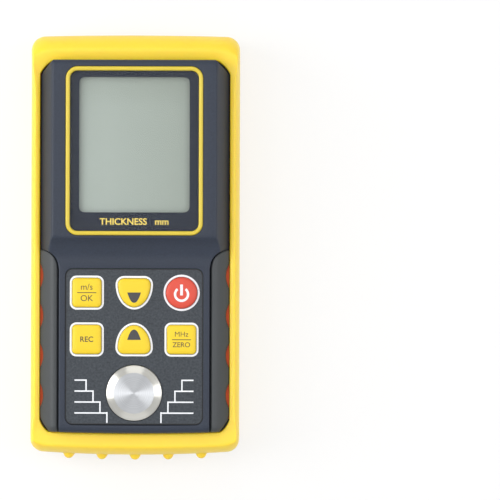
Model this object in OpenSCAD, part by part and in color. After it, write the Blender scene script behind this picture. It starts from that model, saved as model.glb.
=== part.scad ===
// Handheld ultrasonic thickness gauge in a rubber boot, lying on its back.
// Millimetres. X runs to the right, Y towards the probe sockets, Z out of the face.
// The back of the boot lies on Z = 0.

/* [Case] */
// Width of the case under the boot
case_w = 70.4; // [69:0.2:78]
// Length of the case under the boot
case_l = 142.8; // [140:0.2:152]
// Corner radius of the case under the boot
case_corner_r = 3.4; // [2.4:0.2:5]
// Wall of both case halves
case_wall = 2; // [1.6:0.1:2.4]
// Height at which the case halves meet
split_z = 19.5; // [18.5:0.25:20.5]
// Height of the shoulder that the lip of the boot covers
shoulder_z = 24; // [23:0.25:25]
// Shoulder width on each long side
side_ledge = 1.1; // [0.8:0.1:1.4]
// Shoulder width at the socket end
top_ledge = 5.1; // [3.5:0.1:6]
// Shoulder width at the keypad end
low_ledge = 4.1; // [3:0.1:5]
// Corner cut across the raised face at the socket end
top_cut_x = 5; // [3:0.1:6]
// Corner cut along the raised face at the socket end
top_cut_y = 5; // [3:0.1:6]
// Corner cut across the raised face at the keypad end
low_cut_x = 3.5; // [2:0.1:5]
// Corner cut along the raised face at the keypad end
low_cut_y = 4.6; // [3:0.1:6]

/* [Face] */
// Height of the keypad face
face_z = 32; // [31:0.25:35]
// Thickness of the keypad face
face_wall = 2.8; // [2.4:0.1:3.4]
// Edge radius of the keypad face at its lower end
face_end_r = 2.2; // [1:0.1:3]
// Rise of the display plateau over the keypad face
plateau_rise = 3; // [2:0.25:4]
// Flat of the display plateau beside the window frame
plateau_margin = 4.8; // [4.4:0.1:5.4]
// Edge radius of the plateau at the socket end
plateau_end_r = 1.7; // [1:0.1:2]
// Thickness of the display plateau
display_wall = 3.2; // [2.8:0.1:3.8]
// Height of the foot of the side bevels over the shoulder
bevel_foot = 3; // [2:0.1:4]
// Length of the cove between the plateau and the keypad face
cove_l = 8.1; // [6:0.1:10]
// How far the cove dips under the keypad face
cove_bite = 0.05; // [0.03:0.01:0.1]
// Half width of the strip between the grips
strip_half = 27.1; // [26.4:0.1:28]

/* [Display] */
// Width of the yellow window frame
frame_w = 49.2; // [47:0.2:52]
// Length of the yellow window frame
frame_l = 60.5; // [58:0.1:63]
// Outer corner radius of the window frame
frame_r = 4.3; // [3:0.1:6]
// Width of the band of the window frame
frame_band = 1.5; // [1:0.1:2]
// Height of the window frame over the plateau
frame_proud = 0.25; // [0.1:0.05:0.5]
// Distance from the upper edge of the face to the window frame
frame_margin = 2.4; // [1.8:0.1:3]
// Depth of the recess for the window
window_recess = 1.9; // [1.6:0.1:2.2]
// Thickness of the clear window
window_t = 1.4; // [1:0.1:1.5]
// Thickness of the mask behind the window
mask_t = 0.3; // [0.2:0.05:0.4]
// Width of the dark mask beside the display area
mask_side = 3.2; // [2.8:0.1:5]
// Width of the dark mask over the display area
mask_top = 2.2; // [2.1:0.1:4]
// Width of the dark mask under the display area
mask_low = 6.6; // [5:0.1:8]
// Corner radius of the display area that shows
view_r = 2; // [1:0.1:3]
// Margin of the liquid crystal panel round the area that shows
lcd_margin = 1.9; // [1.6:0.1:2.1]
// Thickness of the liquid crystal panel
lcd_t = 2.8; // [2:0.1:3]
// Wall of the panel holder
holder_wall = 1.1; // [0.8:0.1:1.2]

/* [Keypad] */
// Width of the keypad film
film_w = 49.4; // [48:0.2:51]
// Length of the keypad film
film_l = 55.9; // [54:0.1:56.5]
// Corner radius of the keypad film
film_r = 2.7; // [1.5:0.1:4]
// Thickness of the keypad film
film_t = 0.5; // [0.3:0.05:0.6]
// Depth of the film recess
film_recess = 0.9; // [0.7:0.05:1.1]
// Distance from the lower edge of the face to the film
film_margin = 2.8; // [2.4:0.1:3.4]
// Distance between key columns
column_pitch = 17; // [16.4:0.1:17.6]
// Distance between key rows
row_pitch = 16.8; // [16.2:0.1:17.4]
// Distance from the upper edge of the film to the upper key row
row_margin = 8.6; // [8.2:0.1:9]
// Width of a square key
square_key_w = 10.4; // [9.6:0.1:10.8]
// Corner radius of a square key
square_key_r = 1.5; // [1.3:0.1:2.5]
// Width of a shield key
shield_key_w = 11.6; // [10.6:0.1:11.8]
// Height of the straight shoulder of a shield key
shield_top = 2.1; // [1.7:0.1:2.6]
// Height of the rounded part of a shield key
shield_drop = 8.1; // [7.6:0.1:8.5]
// Diameter of the round key
round_key_d = 11.2; // [10.4:0.1:11.6]
// Rise of a key over the film
key_rise = 1.3; // [1:0.1:1.8]
// Travel of a key
key_travel = 0.8; // [0.5:0.1:0.9]
// Width of the white outline round a key
outline_w = 0.7; // [0.5:0.05:0.9]
// Thickness of the white print
print_t = 0.08; // [0.06:0.01:0.12]
// Width of the flange that holds a key under the face
key_flange = 0.9; // [0.6:0.1:1.1]
// Thickness of that flange
key_flange_t = 0.9; // [0.7:0.1:1.2]
// Height of a rubber dome when it is pressed
dome_pressed_h = 2.6; // [2.4:0.1:2.8]
// Thickness of the dome sheet
dome_sheet_t = 0.8; // [0.6:0.1:1]

/* [Calibration disc] */
// Diameter of the disc
disc_d = 20; // [18:0.2:21]
// Diameter of its flat
disc_flat_d = 14.7; // [13:0.1:16]
// Thickness of the disc
disc_t = 4; // [3.5:0.1:4.5]
// Height of the disc over the film
disc_proud = 1.9; // [1.5:0.1:2.4]
// Distance from the lower edge of the film to the middle of the disc
disc_margin = 11.3; // [11:0.1:12]
// Pitch of the printed steps beside the disc
step_pitch = 3.93; // [3.5:0.01:4.1]
// Width of the printed step lines
step_line = 0.5; // [0.4:0.05:0.8]

/* [Grips] */
// Upper end of the grips above the middle of the case
grip_top = -1.8; // [-4:0.1:-1]
// Height of the outer edge of a grip over the shoulder
grip_edge = 2.4; // [2:0.1:2.8]
// Height of the crest of a grip under the keypad face
grip_sink = 0.6; // [0.3:0.1:1]
// Length of a finger scallop
scallop_l = 8.7; // [7:0.1:10]
// Depth of a finger scallop
scallop_d = 1.2; // [0.8:0.1:1.5]
// Distance between scallops
scallop_pitch = 14.35; // [13:0.05:14.6]
// Distance from the upper end of a grip to its first scallop
scallop_margin = 9.4; // [8.5:0.1:10.5]
// Width of the strip that shows in the scallops
side_strip_w = 1.9; // [1.6:0.1:2.2]
// Thickness of that strip
side_strip_t = 1.5; // [1.2:0.1:1.8]

/* [Boot] */
// Wall of the boot beside the case
boot_side_wall = 2.4; // [2:0.1:3.2]
// Wall of the boot at the ends of the case
boot_end_wall = 4.5; // [3.6:0.1:6]
// Thickness of the back of the boot
boot_back_t = 2; // [1.6:0.1:2.6]
// Corner radius of the boot
boot_corner_r = 4.6; // [3.5:0.1:7]
// Radius of the back edges of the boot
boot_back_r = 3; // [2:0.1:4]
// Radius of the outward roll of the front rim
rim_r = 10.6; // [9:0.1:13]
// Height of the ridge of the rim over the shoulder
ridge_rise = 3.5; // [2.8:0.1:4]
// Height of the inner edge of the rim over the shoulder
rim_edge = 2.9; // [1.4:0.1:3.1]
// Ridge inset at the socket end
ridge_top = 5.8; // [4.5:0.1:6.5]
// Ridge inset at the keypad end
ridge_low = 3.2; // [2.5:0.1:4.5]
// Ridge inset on the long sides
ridge_side = 1.7; // [1.4:0.1:2]
// Width of the land along the ridge
ridge_land = 0.3; // [0.2:0.05:0.5]
// Corner cut across the ridge
ridge_cut_x = 7.4; // [5:0.1:9]
// Corner cut along the ridge
ridge_cut_y = 2.4; // [2:0.1:4]
// Bow of the keypad end
bow_low = 1; // [0.4:0.1:1.6]
// Bow of the socket end
bow_top = 0.4; // [0.2:0.1:1]
// Radius of the ribs on the keypad end
rib_r = 1.92; // [1.4:0.02:2.2]
// Distance between ribs
rib_pitch = 12; // [9:0.1:13]
// Lower end of the ribs
rib_low_z = 6; // [5:0.1:8]
// Upper end of the ribs
rib_top_z = 19; // [15:0.1:20]
// Back lip of the boot on the long sides
back_lip_side = 5.7; // [4.6:0.1:7]
// Back lip of the boot at the ends
back_lip_end = 11; // [8:0.1:11]
// Length of the slot for the sockets
slot_w = 40; // [37:0.2:46]
// Height of the slot for the sockets
slot_h = 12.4; // [11.4:0.1:13]

/* [Probe sockets] */
// Distance between the sockets
socket_pitch = 24; // [20:0.2:24]
// Height of the sockets
socket_z = 12.5; // [11.5:0.1:13]
// Radius of the bore that takes a plug
socket_bore_r = 2.5; // [2.2:0.05:2.8]
// Depth of that bore
socket_bore_l = 5.5; // [4.5:0.1:6]
// Outer radius of the shell
socket_r = 3.5; // [3.3:0.05:3.8]
// Height of the shell over the case
socket_proud = 4; // [3.2:0.1:4.3]
// Length of the shell behind the case wall
socket_rear = 7.4; // [6:0.1:9]
// Radius of the flange behind the wall
socket_flange_r = 4.6; // [4.2:0.1:5]
// Thickness of that flange
socket_flange_t = 1.6; // [1.2:0.1:2]
// Width of the nut across its flats
nut_af = 9; // [8.6:0.1:9.6]
// Thickness of the nut
nut_t = 2; // [1.6:0.1:2.4]
// Radius of the centre contact
contact_r = 0.45; // [0.3:0.05:0.6]
// Radius of the insulator
insulator_r = 1.9; // [1.6:0.05:2.1]

/* [Battery bay] */
// Diameter of a cell
cell_d = 10.5; // [10:0.1:10.8]
// Length of a cell with its button
cell_l = 44.5; // [43:0.1:45.5]
// Space between cells
cell_gap = 0.6; // [0.4:0.1:0.8]
// Room for the contacts over both ends of a cell
contact_room = 6; // [5:0.1:7]
// Width of a contact leaf
leaf_w = 5; // [4:0.1:6]
// Height of a contact leaf
leaf_h = 7; // [6:0.1:8]
// Height of the pad of a contact leaf
pad_h = 4; // [3:0.1:4.5]
// Thickness of a contact leaf
leaf_t = 0.4; // [0.3:0.05:0.5]
// Distance of the battery leads from the sides of the bay
lead_inset = 5; // [3:0.1:7]
// Middle of the bay from the middle of the case
bay_y = -24; // [-25:0.1:-22]
// Wall of the bay
bay_wall = 1.5; // [1.2:0.1:1.8]
// Thickness of the door
door_t = 2.2; // [2:0.1:2.4]
// Ledge under the edge of the door
door_ledge = 2.6; // [2:0.1:3]
// Thickness of that ledge
door_ledge_t = 2.4; // [2.2:0.1:3]
// Radius of the hinge pins of the door
hinge_pin_r = 0.8; // [0.6:0.05:0.9]
// Length of the hinge pins
hinge_pin_l = 1.8; // [1.4:0.1:2.2]
// Height of the hinge line over the outer face of the door
hinge_rise = 1.6; // [1.4:0.05:1.7]

/* [Board] */
// Thickness of the circuit board
board_t = 1.6; // [1:0.1:2]
// Radius of a case screw shank
screw_r = 1.3; // [1:0.05:1.5]
// Radius of a case screw head
screw_head_r = 2.5; // [2.2:0.05:2.6]
// Thickness of a case screw head
screw_head_t = 1.8; // [1.4:0.1:2.2]
// Length of the drive cross in a case screw
drive_l = 3; // [2.4:0.1:3.6]
// Width of the drive cross in a case screw
drive_w = 0.6; // [0.4:0.05:0.8]
// Depth of the cross
drive_depth = 1; // [0.8:0.1:1.2]
// Distance of the upper case screws from the cavity wall
screw_side = 1.3; // [1:0.1:1.8]
// Distance of the upper case screws from the upper edge of the face
screw_top = 8.7; // [8:0.1:10]
// Distance of the lower case screws from the middle line
screw_low_x = 20; // [19:0.1:20.5]
// Distance of the lower case screws from the lower edge of the face
screw_low = 7.8; // [7.4:0.1:8.4]
// Radius of a screw boss
boss_r = 3.4; // [3.2:0.1:3.8]
// Depth of the counterbore for a case screw
counterbore = 5; // [4:0.1:6]
// Radius of a board post
post_r = 2.1; // [1.9:0.1:2.3]
// Distance of the upper board posts from the middle of the window frame
post_up = 10; // [8:0.1:12]
// Distance of the lower board posts from the lower key row
post_down = 9.4; // [9:0.1:9.8]
// Radius of a board screw shank
board_screw_r = 0.9; // [0.8:0.05:1.1]
// Radius of a board screw head
board_head_r = 1.8; // [1.6:0.1:2]
// Thickness of a board screw head
board_head_t = 1.3; // [1:0.1:1.6]
// Length of a board screw in its post
board_screw_bite = 3.5; // [3:0.1:4]
// Radius of a lead
lead_r = 0.9; // [0.6:0.1:1.1]
// Distance of the outer components from the middle line
component_x = 13; // [12:0.1:14]
// Distance of the upper components from the middle of the display
component_up = 4; // [2:0.1:6]
// Distance of the lower components from the middle of the display
component_down = 14; // [13:0.1:16]
// Side of the controller chip
controller_w = 14; // [10:0.5:16]
// Thickness of the controller chip
controller_t = 1.5; // [1.2:0.1:2]
// Width of the amplifier chip
amplifier_w = 5; // [4:0.1:6]
// Length of the amplifier chip
amplifier_l = 9; // [6:0.1:10]
// Thickness of the amplifier chip
amplifier_t = 1.6; // [1.2:0.1:2]
// Width of the pulse transformer
transformer_w = 11; // [9:0.1:12]
// Length of the pulse transformer
transformer_l = 10; // [8:0.1:12]
// Height of the pulse transformer
transformer_h = 5; // [4:0.1:6]
// Height of the winding slots of the pulse transformer
winding_h = 2.6; // [2:0.1:3]
// Diameter of the reservoir capacitor
capacitor_d = 6.3; // [5:0.1:8]
// Height of the reservoir capacitor
capacitor_h = 5.2; // [4:0.1:6]
// Width of the timing crystal
crystal_w = 4.6; // [3.8:0.1:5]
// Length of the timing crystal
crystal_l = 11.2; // [9:0.1:12]
// Height of the timing crystal
crystal_h = 3.4; // [2.5:0.1:4]

/* [Clearances] */
// Gap between the boot and the case
boot_fit = 0.1; // [0.05:0.05:0.2]
// Gap between seated pieces
seat_gap = 0.1; // [0.05:0.05:0.2]
// Gap beside a key
key_gap = 0.2; // [0.15:0.05:0.3]
// Gap over the flange of a key
key_lift = 0.3; // [0.2:0.05:0.4]
// Gap round the door
door_gap = 0.3; // [0.2:0.05:0.4]
// Gap between the circuit board and the case
board_gap = 0.7; // [0.4:0.1:1]
// Gap between the board posts and the panel holder
post_gap = 0.8; // [0.5:0.1:1]
// Radial gap of the hinge pins
hinge_fit = 0.08; // [0.05:0.01:0.1]

/* [Hidden] */
$fn = 64;
plateau_z = face_z + plateau_rise;
plateau_w = frame_w + 2 * plateau_margin;
raised_w = case_w - 2 * side_ledge;
raised_top = case_l / 2 - top_ledge;
raised_low = -case_l / 2 + low_ledge;
boot_w = case_w + 2 * (boot_fit + boot_side_wall);
boot_l = case_l + 2 * (boot_fit + boot_end_wall);
ridge_z = shoulder_z + ridge_rise;
rim_over = 0.05;
shift_y = rib_r / 2;
back_z = boot_back_t;
frame_y = raised_top - frame_margin - frame_l / 2;
step_top = frame_y - frame_l / 2 - 0.9;
step_low = step_top - cove_l;
cove_r = (cove_l * cove_l + plateau_rise * plateau_rise) / (2 * plateau_rise);
window_z = plateau_z - window_recess;
ceiling_z = plateau_z - display_wall;
window_w = frame_w - 2 * (frame_band + seat_gap);
window_l = frame_l - 2 * (frame_band + seat_gap);
view_w = window_w - 2 * mask_side;
view_l = window_l - mask_top - mask_low;
view_y = frame_y + (mask_low - mask_top) / 2;
lcd_w = view_w + 2 * lcd_margin;
lcd_l = view_l + 2 * lcd_margin;
lcd_top_z = ceiling_z - seat_gap;
film_y = raised_low + film_margin + film_l / 2;
film_z = face_z - film_recess;
film_top_z = film_z + film_t;
key_wall_z = face_z - face_wall;
row_top_y = film_y + film_l / 2 - row_margin;
row_low_y = row_top_y - row_pitch;
flange_z = key_wall_z - key_lift - key_flange_t;
dome_h = dome_pressed_h + key_travel;
board_z = flange_z - dome_h;
board_low_z = board_z - board_t;
disc_y = film_y - film_l / 2 + disc_margin;
disc_z = film_top_z + disc_proud - disc_t;
grip_in = strip_half + seat_gap;
grip_round = raised_w / 2 - grip_in;
crest_z = face_z - grip_sink;
cavity_half = plateau_w / 2 - 0.8;
strip_cavity_half = strip_half - 1.8;
bay_w = 4 * cell_d + 5 * cell_gap;
bay_l = cell_l + contact_room;
bay_top = bay_y + bay_l / 2;
bay_low = bay_y - bay_l / 2;
door_in_z = back_z + door_t;
cell_z = door_in_z + 0.4 + cell_d / 2;
bay_ceiling_z = cell_z + cell_d / 2 + 0.4;
door_half = bay_w / 2 + door_ledge;
hinge_y = bay_top + door_ledge + hinge_rise;
hinge_z = back_z + hinge_rise;
door_low = bay_low - door_ledge;
bay_block_z = door_in_z + seat_gap + door_ledge_t;
socket_face_y = case_l / 2 + socket_proud;
socket_end_y = case_l / 2 - case_wall - socket_rear;
screw_seat_z = back_z + counterbore;
screw_l = split_z - screw_seat_z + 4.5;
board_top_y = raised_top - case_wall - board_gap;
board_low_y = row_low_y - 12;
case_screw_at = [
    for (sx = [-1, 1]) [sx * (cavity_half - screw_side), raised_top - screw_top],
    for (sx = [-1, 1]) [sx * screw_low_x, raised_low + screw_low]
];
board_post_at = [
    for (sx = [-1, 1]) [sx * (lcd_w / 2 + holder_wall + seat_gap + post_r + post_gap), frame_y + post_up],
    for (sx = [-1, 1]) [sx * (strip_cavity_half - post_r - 1.4), row_low_y - post_down]
];
key_at = [
    for (row_y = [row_top_y, row_low_y])
        for (column = [-1, 0, 1]) [column * column_pitch, row_y]
];
key_kind = ["square", "shield_down", "round", "square", "shield_up", "square"];

// Outline with true round corners, centred.
module rounded_rect(w, l, r) {
    square([w - 2 * r, l], center = true);
    square([w, l - 2 * r], center = true);
    for (sx = [-1, 1], sy = [-1, 1])
        translate([sx * (w / 2 - r), sy * (l / 2 - r)]) circle(r);
}

// Plate with round corners that stands on a height.
module plate(w, l, r, y, z, t) {
    translate([0, y, z]) linear_extrude(t) rounded_rect(w, l, r);
}

// Profile given across (Y, Z), drawn out along X.
module along_x(length) {
    translate([-length / 2, 0, 0]) rotate([90, 0, 90]) linear_extrude(length) children();
}

// Profile given across (X, Z), drawn out along Y.
module along_y(length, y = 0) {
    translate([0, y + length / 2, 0]) rotate([90, 0, 0]) linear_extrude(length) children();
}

// Block from the origin with its far upper corner rounded.
module round_end(length, h, r) {
    square([length - r, h]);
    square([length, h - r]);
    translate([length - r, h - r]) circle(r);
}

module both_sides() {
    children();
    mirror([1, 0, 0]) children();
}

// Puts the gauge so that the box round boot and ribs is centred on the origin.
module placed() {
    translate([0, shift_y, 0]) children();
}

// Outline of the raised face, with its cut corners.
module raised_outline(grow = 0) {
    a = raised_w / 2 + grow;
    t = raised_top + grow;
    b = raised_low - grow;
    polygon([
        [-a, b + low_cut_y], [-a + low_cut_x, b], [a - low_cut_x, b], [a, b + low_cut_y],
        [a, t - top_cut_y], [a - top_cut_x, t], [-a + top_cut_x, t], [-a, t - top_cut_y]
    ]);
}

// Lengthwise profile of the face: keypad level, cove and display plateau.
module face_profile() {
    difference() {
        union() {
            translate([frame_y, split_z]) mirror([1, 0])
                round_end(frame_y - raised_low, face_z - split_z, face_end_r);
            translate([step_low, split_z])
                round_end(raised_top - step_low, plateau_z - split_z, plateau_end_r);
        }
        translate([step_low, face_z + cove_r - cove_bite]) circle(cove_r, $fn = 180);
    }
}

// Cross profile of the face with the bevels beside the display.
module bevel_profile() {
    a = raised_w / 2;
    foot = shoulder_z + bevel_foot;
    polygon([
        [-a, split_z], [a, split_z], [a, foot - 0.9], [a - 0.7, foot],
        [plateau_w / 2, plateau_z], [-plateau_w / 2, plateau_z], [-a + 0.7, foot], [-a, foot - 0.9]
    ]);
}

// Plan of the right grip, or of its seat in the case.
module grip_plan(grow = 0) {
    intersection() {
        union() {
            translate([grip_in - grow, raised_low - 5])
                square([raised_w, grip_top - grip_round - raised_low + 5]);
            translate([raised_w / 2, grip_top - grip_round]) circle(grip_round + grow);
        }
        translate([0, raised_low - 4]) square([raised_w, grip_top - raised_low + 9]);
    }
}

// Cross profile of the right grip: crest beside the groove, slope to the rim.
module grip_profile() {
    a = raised_w / 2;
    edge = shoulder_z + grip_edge;
    polygon([
        [grip_in, shoulder_z], [a, shoulder_z], [a, edge], [a - 0.8, edge + 0.9],
        [a - 4.4, crest_z - 0.4], [a - 5.1, crest_z], [a - 5.8, crest_z - 0.1], [grip_in, crest_z - 0.9]
    ]);
}

// Outline of one key. The kind is square, round, shield_down or shield_up.
module key_outline(kind, grow = 0) {
    if (kind == "square")
        rounded_rect(square_key_w + 2 * grow, square_key_w + 2 * grow, square_key_r + grow);
    if (kind == "round") circle(round_key_d / 2 + grow);
    if (kind == "shield_down") shield_outline(grow);
    if (kind == "shield_up") mirror([0, 1]) shield_outline(grow);
}

// Straight edge with round corners over half an ellipse.
module shield_outline(grow) {
    a = shield_key_w / 2 + grow;
    c = shield_top + grow;
    d = shield_drop + grow;
    y = (shield_drop - shield_top) / 2;
    polygon(concat(
        [for (t = [0:15:90]) [a - c + c * cos(t), y + c * sin(t)]],
        [for (t = [90:15:180]) [-a + c + c * cos(t), y + c * sin(t)]],
        [for (t = [187.5:7.5:352.5]) [a * cos(t), y + d * sin(t)]]
    ));
}

// Half of a boot section: back edge round, outward roll up to the ridge.
module rim_half(half, inset) {
    roll_z = ridge_z - sqrt(2 * rim_r * inset - inset * inset);
    translate([0, boot_back_r]) square([half, roll_z - boot_back_r]);
    square([half - boot_back_r, roll_z]);
    translate([half - boot_back_r, boot_back_r]) circle(boot_back_r);
    translate([0, roll_z - 1]) square([half - rim_r, ridge_z - roll_z + 1]);
    intersection() {
        translate([half - rim_r, roll_z]) circle(rim_r);
        translate([half - rim_r - 1, roll_z - 1]) square([rim_r + 2, ridge_z - roll_z + 1]);
    }
}

// Plan of the boot: rounded corners and bowed ends.
module boot_outline() {
    chord = boot_w / 2 - boot_corner_r;
    low_r = (chord * chord + bow_low * bow_low) / (2 * bow_low);
    top_r = (chord * chord + bow_top * bow_top) / (2 * bow_top);
    translate([0, (bow_low - bow_top) / 2])
        rounded_rect(boot_w, boot_l - bow_low - bow_top, boot_corner_r);
    intersection() {
        translate([0, -boot_l / 2 + low_r]) circle(low_r, $fn = 720);
        translate([-chord, -boot_l / 2 - 1]) square([2 * chord, 4]);
    }
    intersection() {
        translate([0, boot_l / 2 - top_r]) circle(top_r, $fn = 720);
        translate([-chord, boot_l / 2 - 3]) square([2 * chord, 4]);
    }
}

// Outer body of the boot, from its plan and two sections.
module boot_form() {
    intersection() {
        translate([0, 0, -1]) linear_extrude(ridge_z + 2) boot_outline();
        along_x(boot_w + 2) union() {
            rim_half(boot_l / 2 + rim_over, ridge_top + rim_over);
            mirror([1, 0]) rim_half(boot_l / 2 + rim_over, ridge_low + rim_over);
        }
        along_y(boot_l + 2) union() {
            rim_half(boot_w / 2 + rim_over, ridge_side + rim_over);
            mirror([1, 0]) rim_half(boot_w / 2 + rim_over, ridge_side + rim_over);
        }
    }
}

module boot_ribs() {
    for (n = [-2:2]) {
        x = n * rib_pitch;
        y = -boot_l / 2 + bow_low * pow(2 * x / boot_w, 2);
        translate([x, y, rib_low_z]) cylinder(h = rib_top_z - rib_low_z, r = rib_r);
        for (z = [rib_low_z, rib_top_z]) translate([x, y, z]) sphere(rib_r);
    }
}

// Inner slope of the rim, from the ridge down to the raised face.
module rim_flare() {
    a = boot_w / 2 - ridge_side - ridge_land;
    t = boot_l / 2 - ridge_top - ridge_land;
    b = -boot_l / 2 + ridge_low + ridge_land;
    hull() {
        translate([0, 0, shoulder_z + rim_edge]) linear_extrude(0.01) raised_outline(seat_gap);
        translate([0, 0, ridge_z]) linear_extrude(0.5) polygon([
            [-a, b + ridge_cut_y], [-a + ridge_cut_x, b], [a - ridge_cut_x, b], [a, b + ridge_cut_y],
            [a, t - ridge_cut_y], [a - ridge_cut_x, t], [-a + ridge_cut_x, t], [-a, t - ridge_cut_y]
        ]);
    }
}

module boot() {
    color([0.93, 0.78, 0.2]) difference() {
        union() {
            boot_form();
            boot_ribs();
        }
        plate(case_w + 2 * boot_fit, case_l + 2 * boot_fit, case_corner_r + boot_fit, 0, back_z,
            shoulder_z - back_z);
        translate([0, 0, back_z + 1]) linear_extrude(ridge_z) raised_outline(seat_gap);
        rim_flare();
        plate(boot_w - 2 * back_lip_side, boot_l - 2 * back_lip_end, 6, 0, -1, back_z + 2);
        translate([0, boot_l / 2 + 1, socket_z]) rotate([90, 0, 0])
            linear_extrude(boot_end_wall + 3) rounded_rect(slot_w, slot_h, slot_h / 2 - 0.1);
    }
}

module front_shell() {
    difference() {
        union() {
            plate(case_w, case_l, case_corner_r, 0, split_z, shoulder_z - split_z);
            intersection() {
                along_x(raised_w + 2) face_profile();
                along_y(case_l) bevel_profile();
                translate([0, 0, split_z - 1]) linear_extrude(plateau_z) raised_outline();
            }
        }
        plate(case_w - 2 * case_wall, case_l - 2 * case_wall, case_corner_r - case_wall + 0.6, 0,
            split_z - 1, shoulder_z - case_wall - split_z + 1);
        translate([-cavity_half, step_low + 6, split_z - 1])
            cube([2 * cavity_half, raised_top - case_wall - step_low - 6, ceiling_z - split_z + 1]);
        translate([-strip_cavity_half, raised_low + case_wall, split_z - 1])
            cube([2 * strip_cavity_half, step_low + 7 - raised_low - case_wall, key_wall_z - split_z + 1]);
        both_sides() translate([0, 0, shoulder_z]) linear_extrude(plateau_z) grip_plan(seat_gap);
    }
}

module front_case() {
    color([0.24, 0.26, 0.29]) difference() {
        union() {
            front_shell();
            for (p = case_screw_at)
                translate([p[0], p[1], split_z])
                    cylinder(h = (p[1] > 0 ? ceiling_z : key_wall_z) - split_z + 0.5, r = boss_r);
            for (p = board_post_at)
                translate([p[0], p[1], board_z])
                    cylinder(h = (p[1] > 0 ? ceiling_z : key_wall_z) - board_z + 0.5, r = post_r);
            translate([0, disc_y, disc_z - 2]) cylinder(h = face_z - disc_z, r = disc_d / 2 + 2);
        }
        plate(frame_w + 2 * seat_gap, frame_l + 2 * seat_gap, frame_r + seat_gap, frame_y, window_z, 5);
        plate(view_w + 1.6, view_l + 1.6, view_r + 0.8, view_y, ceiling_z - 1, 5);
        plate(film_w + 2 * seat_gap, film_l + 2 * seat_gap, film_r + seat_gap, film_y, film_z, 5);
        for (n = [0:5])
            translate([key_at[n][0], key_at[n][1], key_wall_z - 1])
                linear_extrude(5) key_outline(key_kind[n], key_gap + 0.05);
        translate([0, disc_y, disc_z]) cylinder(h = 9, r = disc_d / 2 + seat_gap);
        for (p = case_screw_at)
            translate([p[0], p[1], split_z - 1])
                cylinder(h = screw_seat_z + screw_l - split_z + 1.5, r = screw_r + 0.05);
        for (p = board_post_at)
            translate([p[0], p[1], board_z - 1]) cylinder(h = board_screw_bite + 1.5, r = board_screw_r + 0.05);
    }
}

module bay_box() {
    translate([-bay_w / 2 - bay_wall, bay_low - bay_wall, back_z])
        cube([bay_w + 2 * bay_wall, bay_l + 2 * bay_wall, bay_ceiling_z + bay_wall - back_z]);
    translate([-door_half - door_gap - 3.2, door_low - door_gap - 2.5, back_z])
        cube([2 * (door_half + door_gap + 3.2), hinge_y + hinge_rise + 2 * door_gap + 4.7 - door_low,
            bay_block_z - back_z]);
}

module door_pocket() {
    w = 2 * (door_half + door_gap);
    translate([-w / 2, door_low - door_gap, back_z - 1])
        cube([w, hinge_y - door_low + door_gap, door_t + seat_gap + 1]);
    translate([-w / 2, hinge_y - hinge_rise - 0.4, back_z - 1])
        cube([w, 2 * hinge_rise + 0.4 + door_gap, 2 * hinge_rise + door_gap + 1]);
    translate([0, hinge_y, hinge_z]) rotate([0, 90, 0])
        cylinder(h = w + 2 * hinge_pin_l + 0.4, r = hinge_pin_r + hinge_fit, center = true);
    translate([0, door_low - door_gap + 1, back_z - 0.4]) sphere(4);
}

module rear_case() {
    color([0.2, 0.21, 0.24]) difference() {
        union() {
            difference() {
                plate(case_w, case_l, case_corner_r, 0, back_z, split_z - back_z);
                plate(case_w - 2 * case_wall, case_l - 2 * case_wall, case_corner_r - case_wall + 0.6, 0,
                    back_z + case_wall, split_z);
            }
            bay_box();
            for (p = case_screw_at)
                translate([p[0], p[1], back_z]) cylinder(h = split_z - back_z, r = boss_r);
        }
        translate([-bay_w / 2, bay_low, back_z]) cube([bay_w, bay_l, bay_ceiling_z - back_z]);
        door_pocket();
        for (p = case_screw_at) translate([p[0], p[1], back_z - 1]) {
            cylinder(h = counterbore + 1, r = screw_head_r + 0.3);
            cylinder(h = split_z, r = screw_r + 0.2);
        }
        for (sx = [-1, 1])
            translate([sx * socket_pitch / 2, case_l / 2 + 1, socket_z]) rotate([90, 0, 0])
                cylinder(h = case_wall + 2, r = socket_r + seat_gap);
    }
}

module grip() {
    cut_r = (scallop_l * scallop_l / 4 + scallop_d * scallop_d) / (2 * scallop_d);
    cut_x = raised_w / 2 + cut_r - scallop_d;
    color([0.3, 0.31, 0.32]) difference() {
        intersection() {
            translate([0, 0, shoulder_z]) linear_extrude(plateau_z) intersection() {
                grip_plan();
                raised_outline();
            }
            along_y(case_l) grip_profile();
            along_x(raised_w + 2) face_profile();
        }
        translate([raised_w / 2 - side_strip_w - seat_gap, raised_low - 1, shoulder_z - 1])
            cube([9, case_l, side_strip_t + seat_gap + 1]);
        for (n = [0:3])
            translate([cut_x, grip_top - scallop_margin - n * scallop_pitch, shoulder_z])
                cylinder(h = 20, r = cut_r);
    }
}

module right_grip() {
    grip();
}

module left_grip() {
    mirror([1, 0, 0]) grip();
}

module side_strip() {
    color([0.7, 0.16, 0.05]) translate([0, 0, shoulder_z]) linear_extrude(side_strip_t) intersection() {
        translate([raised_w / 2 - side_strip_w, raised_low + low_cut_y])
            square([side_strip_w, grip_top - raised_low - low_cut_y - 0.6]);
        raised_outline();
        grip_plan();
    }
}

module right_side_strip() {
    side_strip();
}

module left_side_strip() {
    mirror([1, 0, 0]) side_strip();
}

module window_frame() {
    h = window_recess + frame_proud;
    color([0.89, 0.78, 0.26]) difference() {
        plate(frame_w, frame_l, frame_r, frame_y, window_z, h);
        plate(frame_w - 2 * frame_band, frame_l - 2 * frame_band, frame_r - frame_band, frame_y, window_z - 1,
            h + 2);
    }
}

module window_plate(z, t) {
    plate(window_w, window_l, frame_r - frame_band - seat_gap, frame_y, z, t);
}

module display_window() {
    color([0.75, 0.8, 0.82, 0.5]) window_plate(window_z + mask_t, window_t);
}

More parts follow.
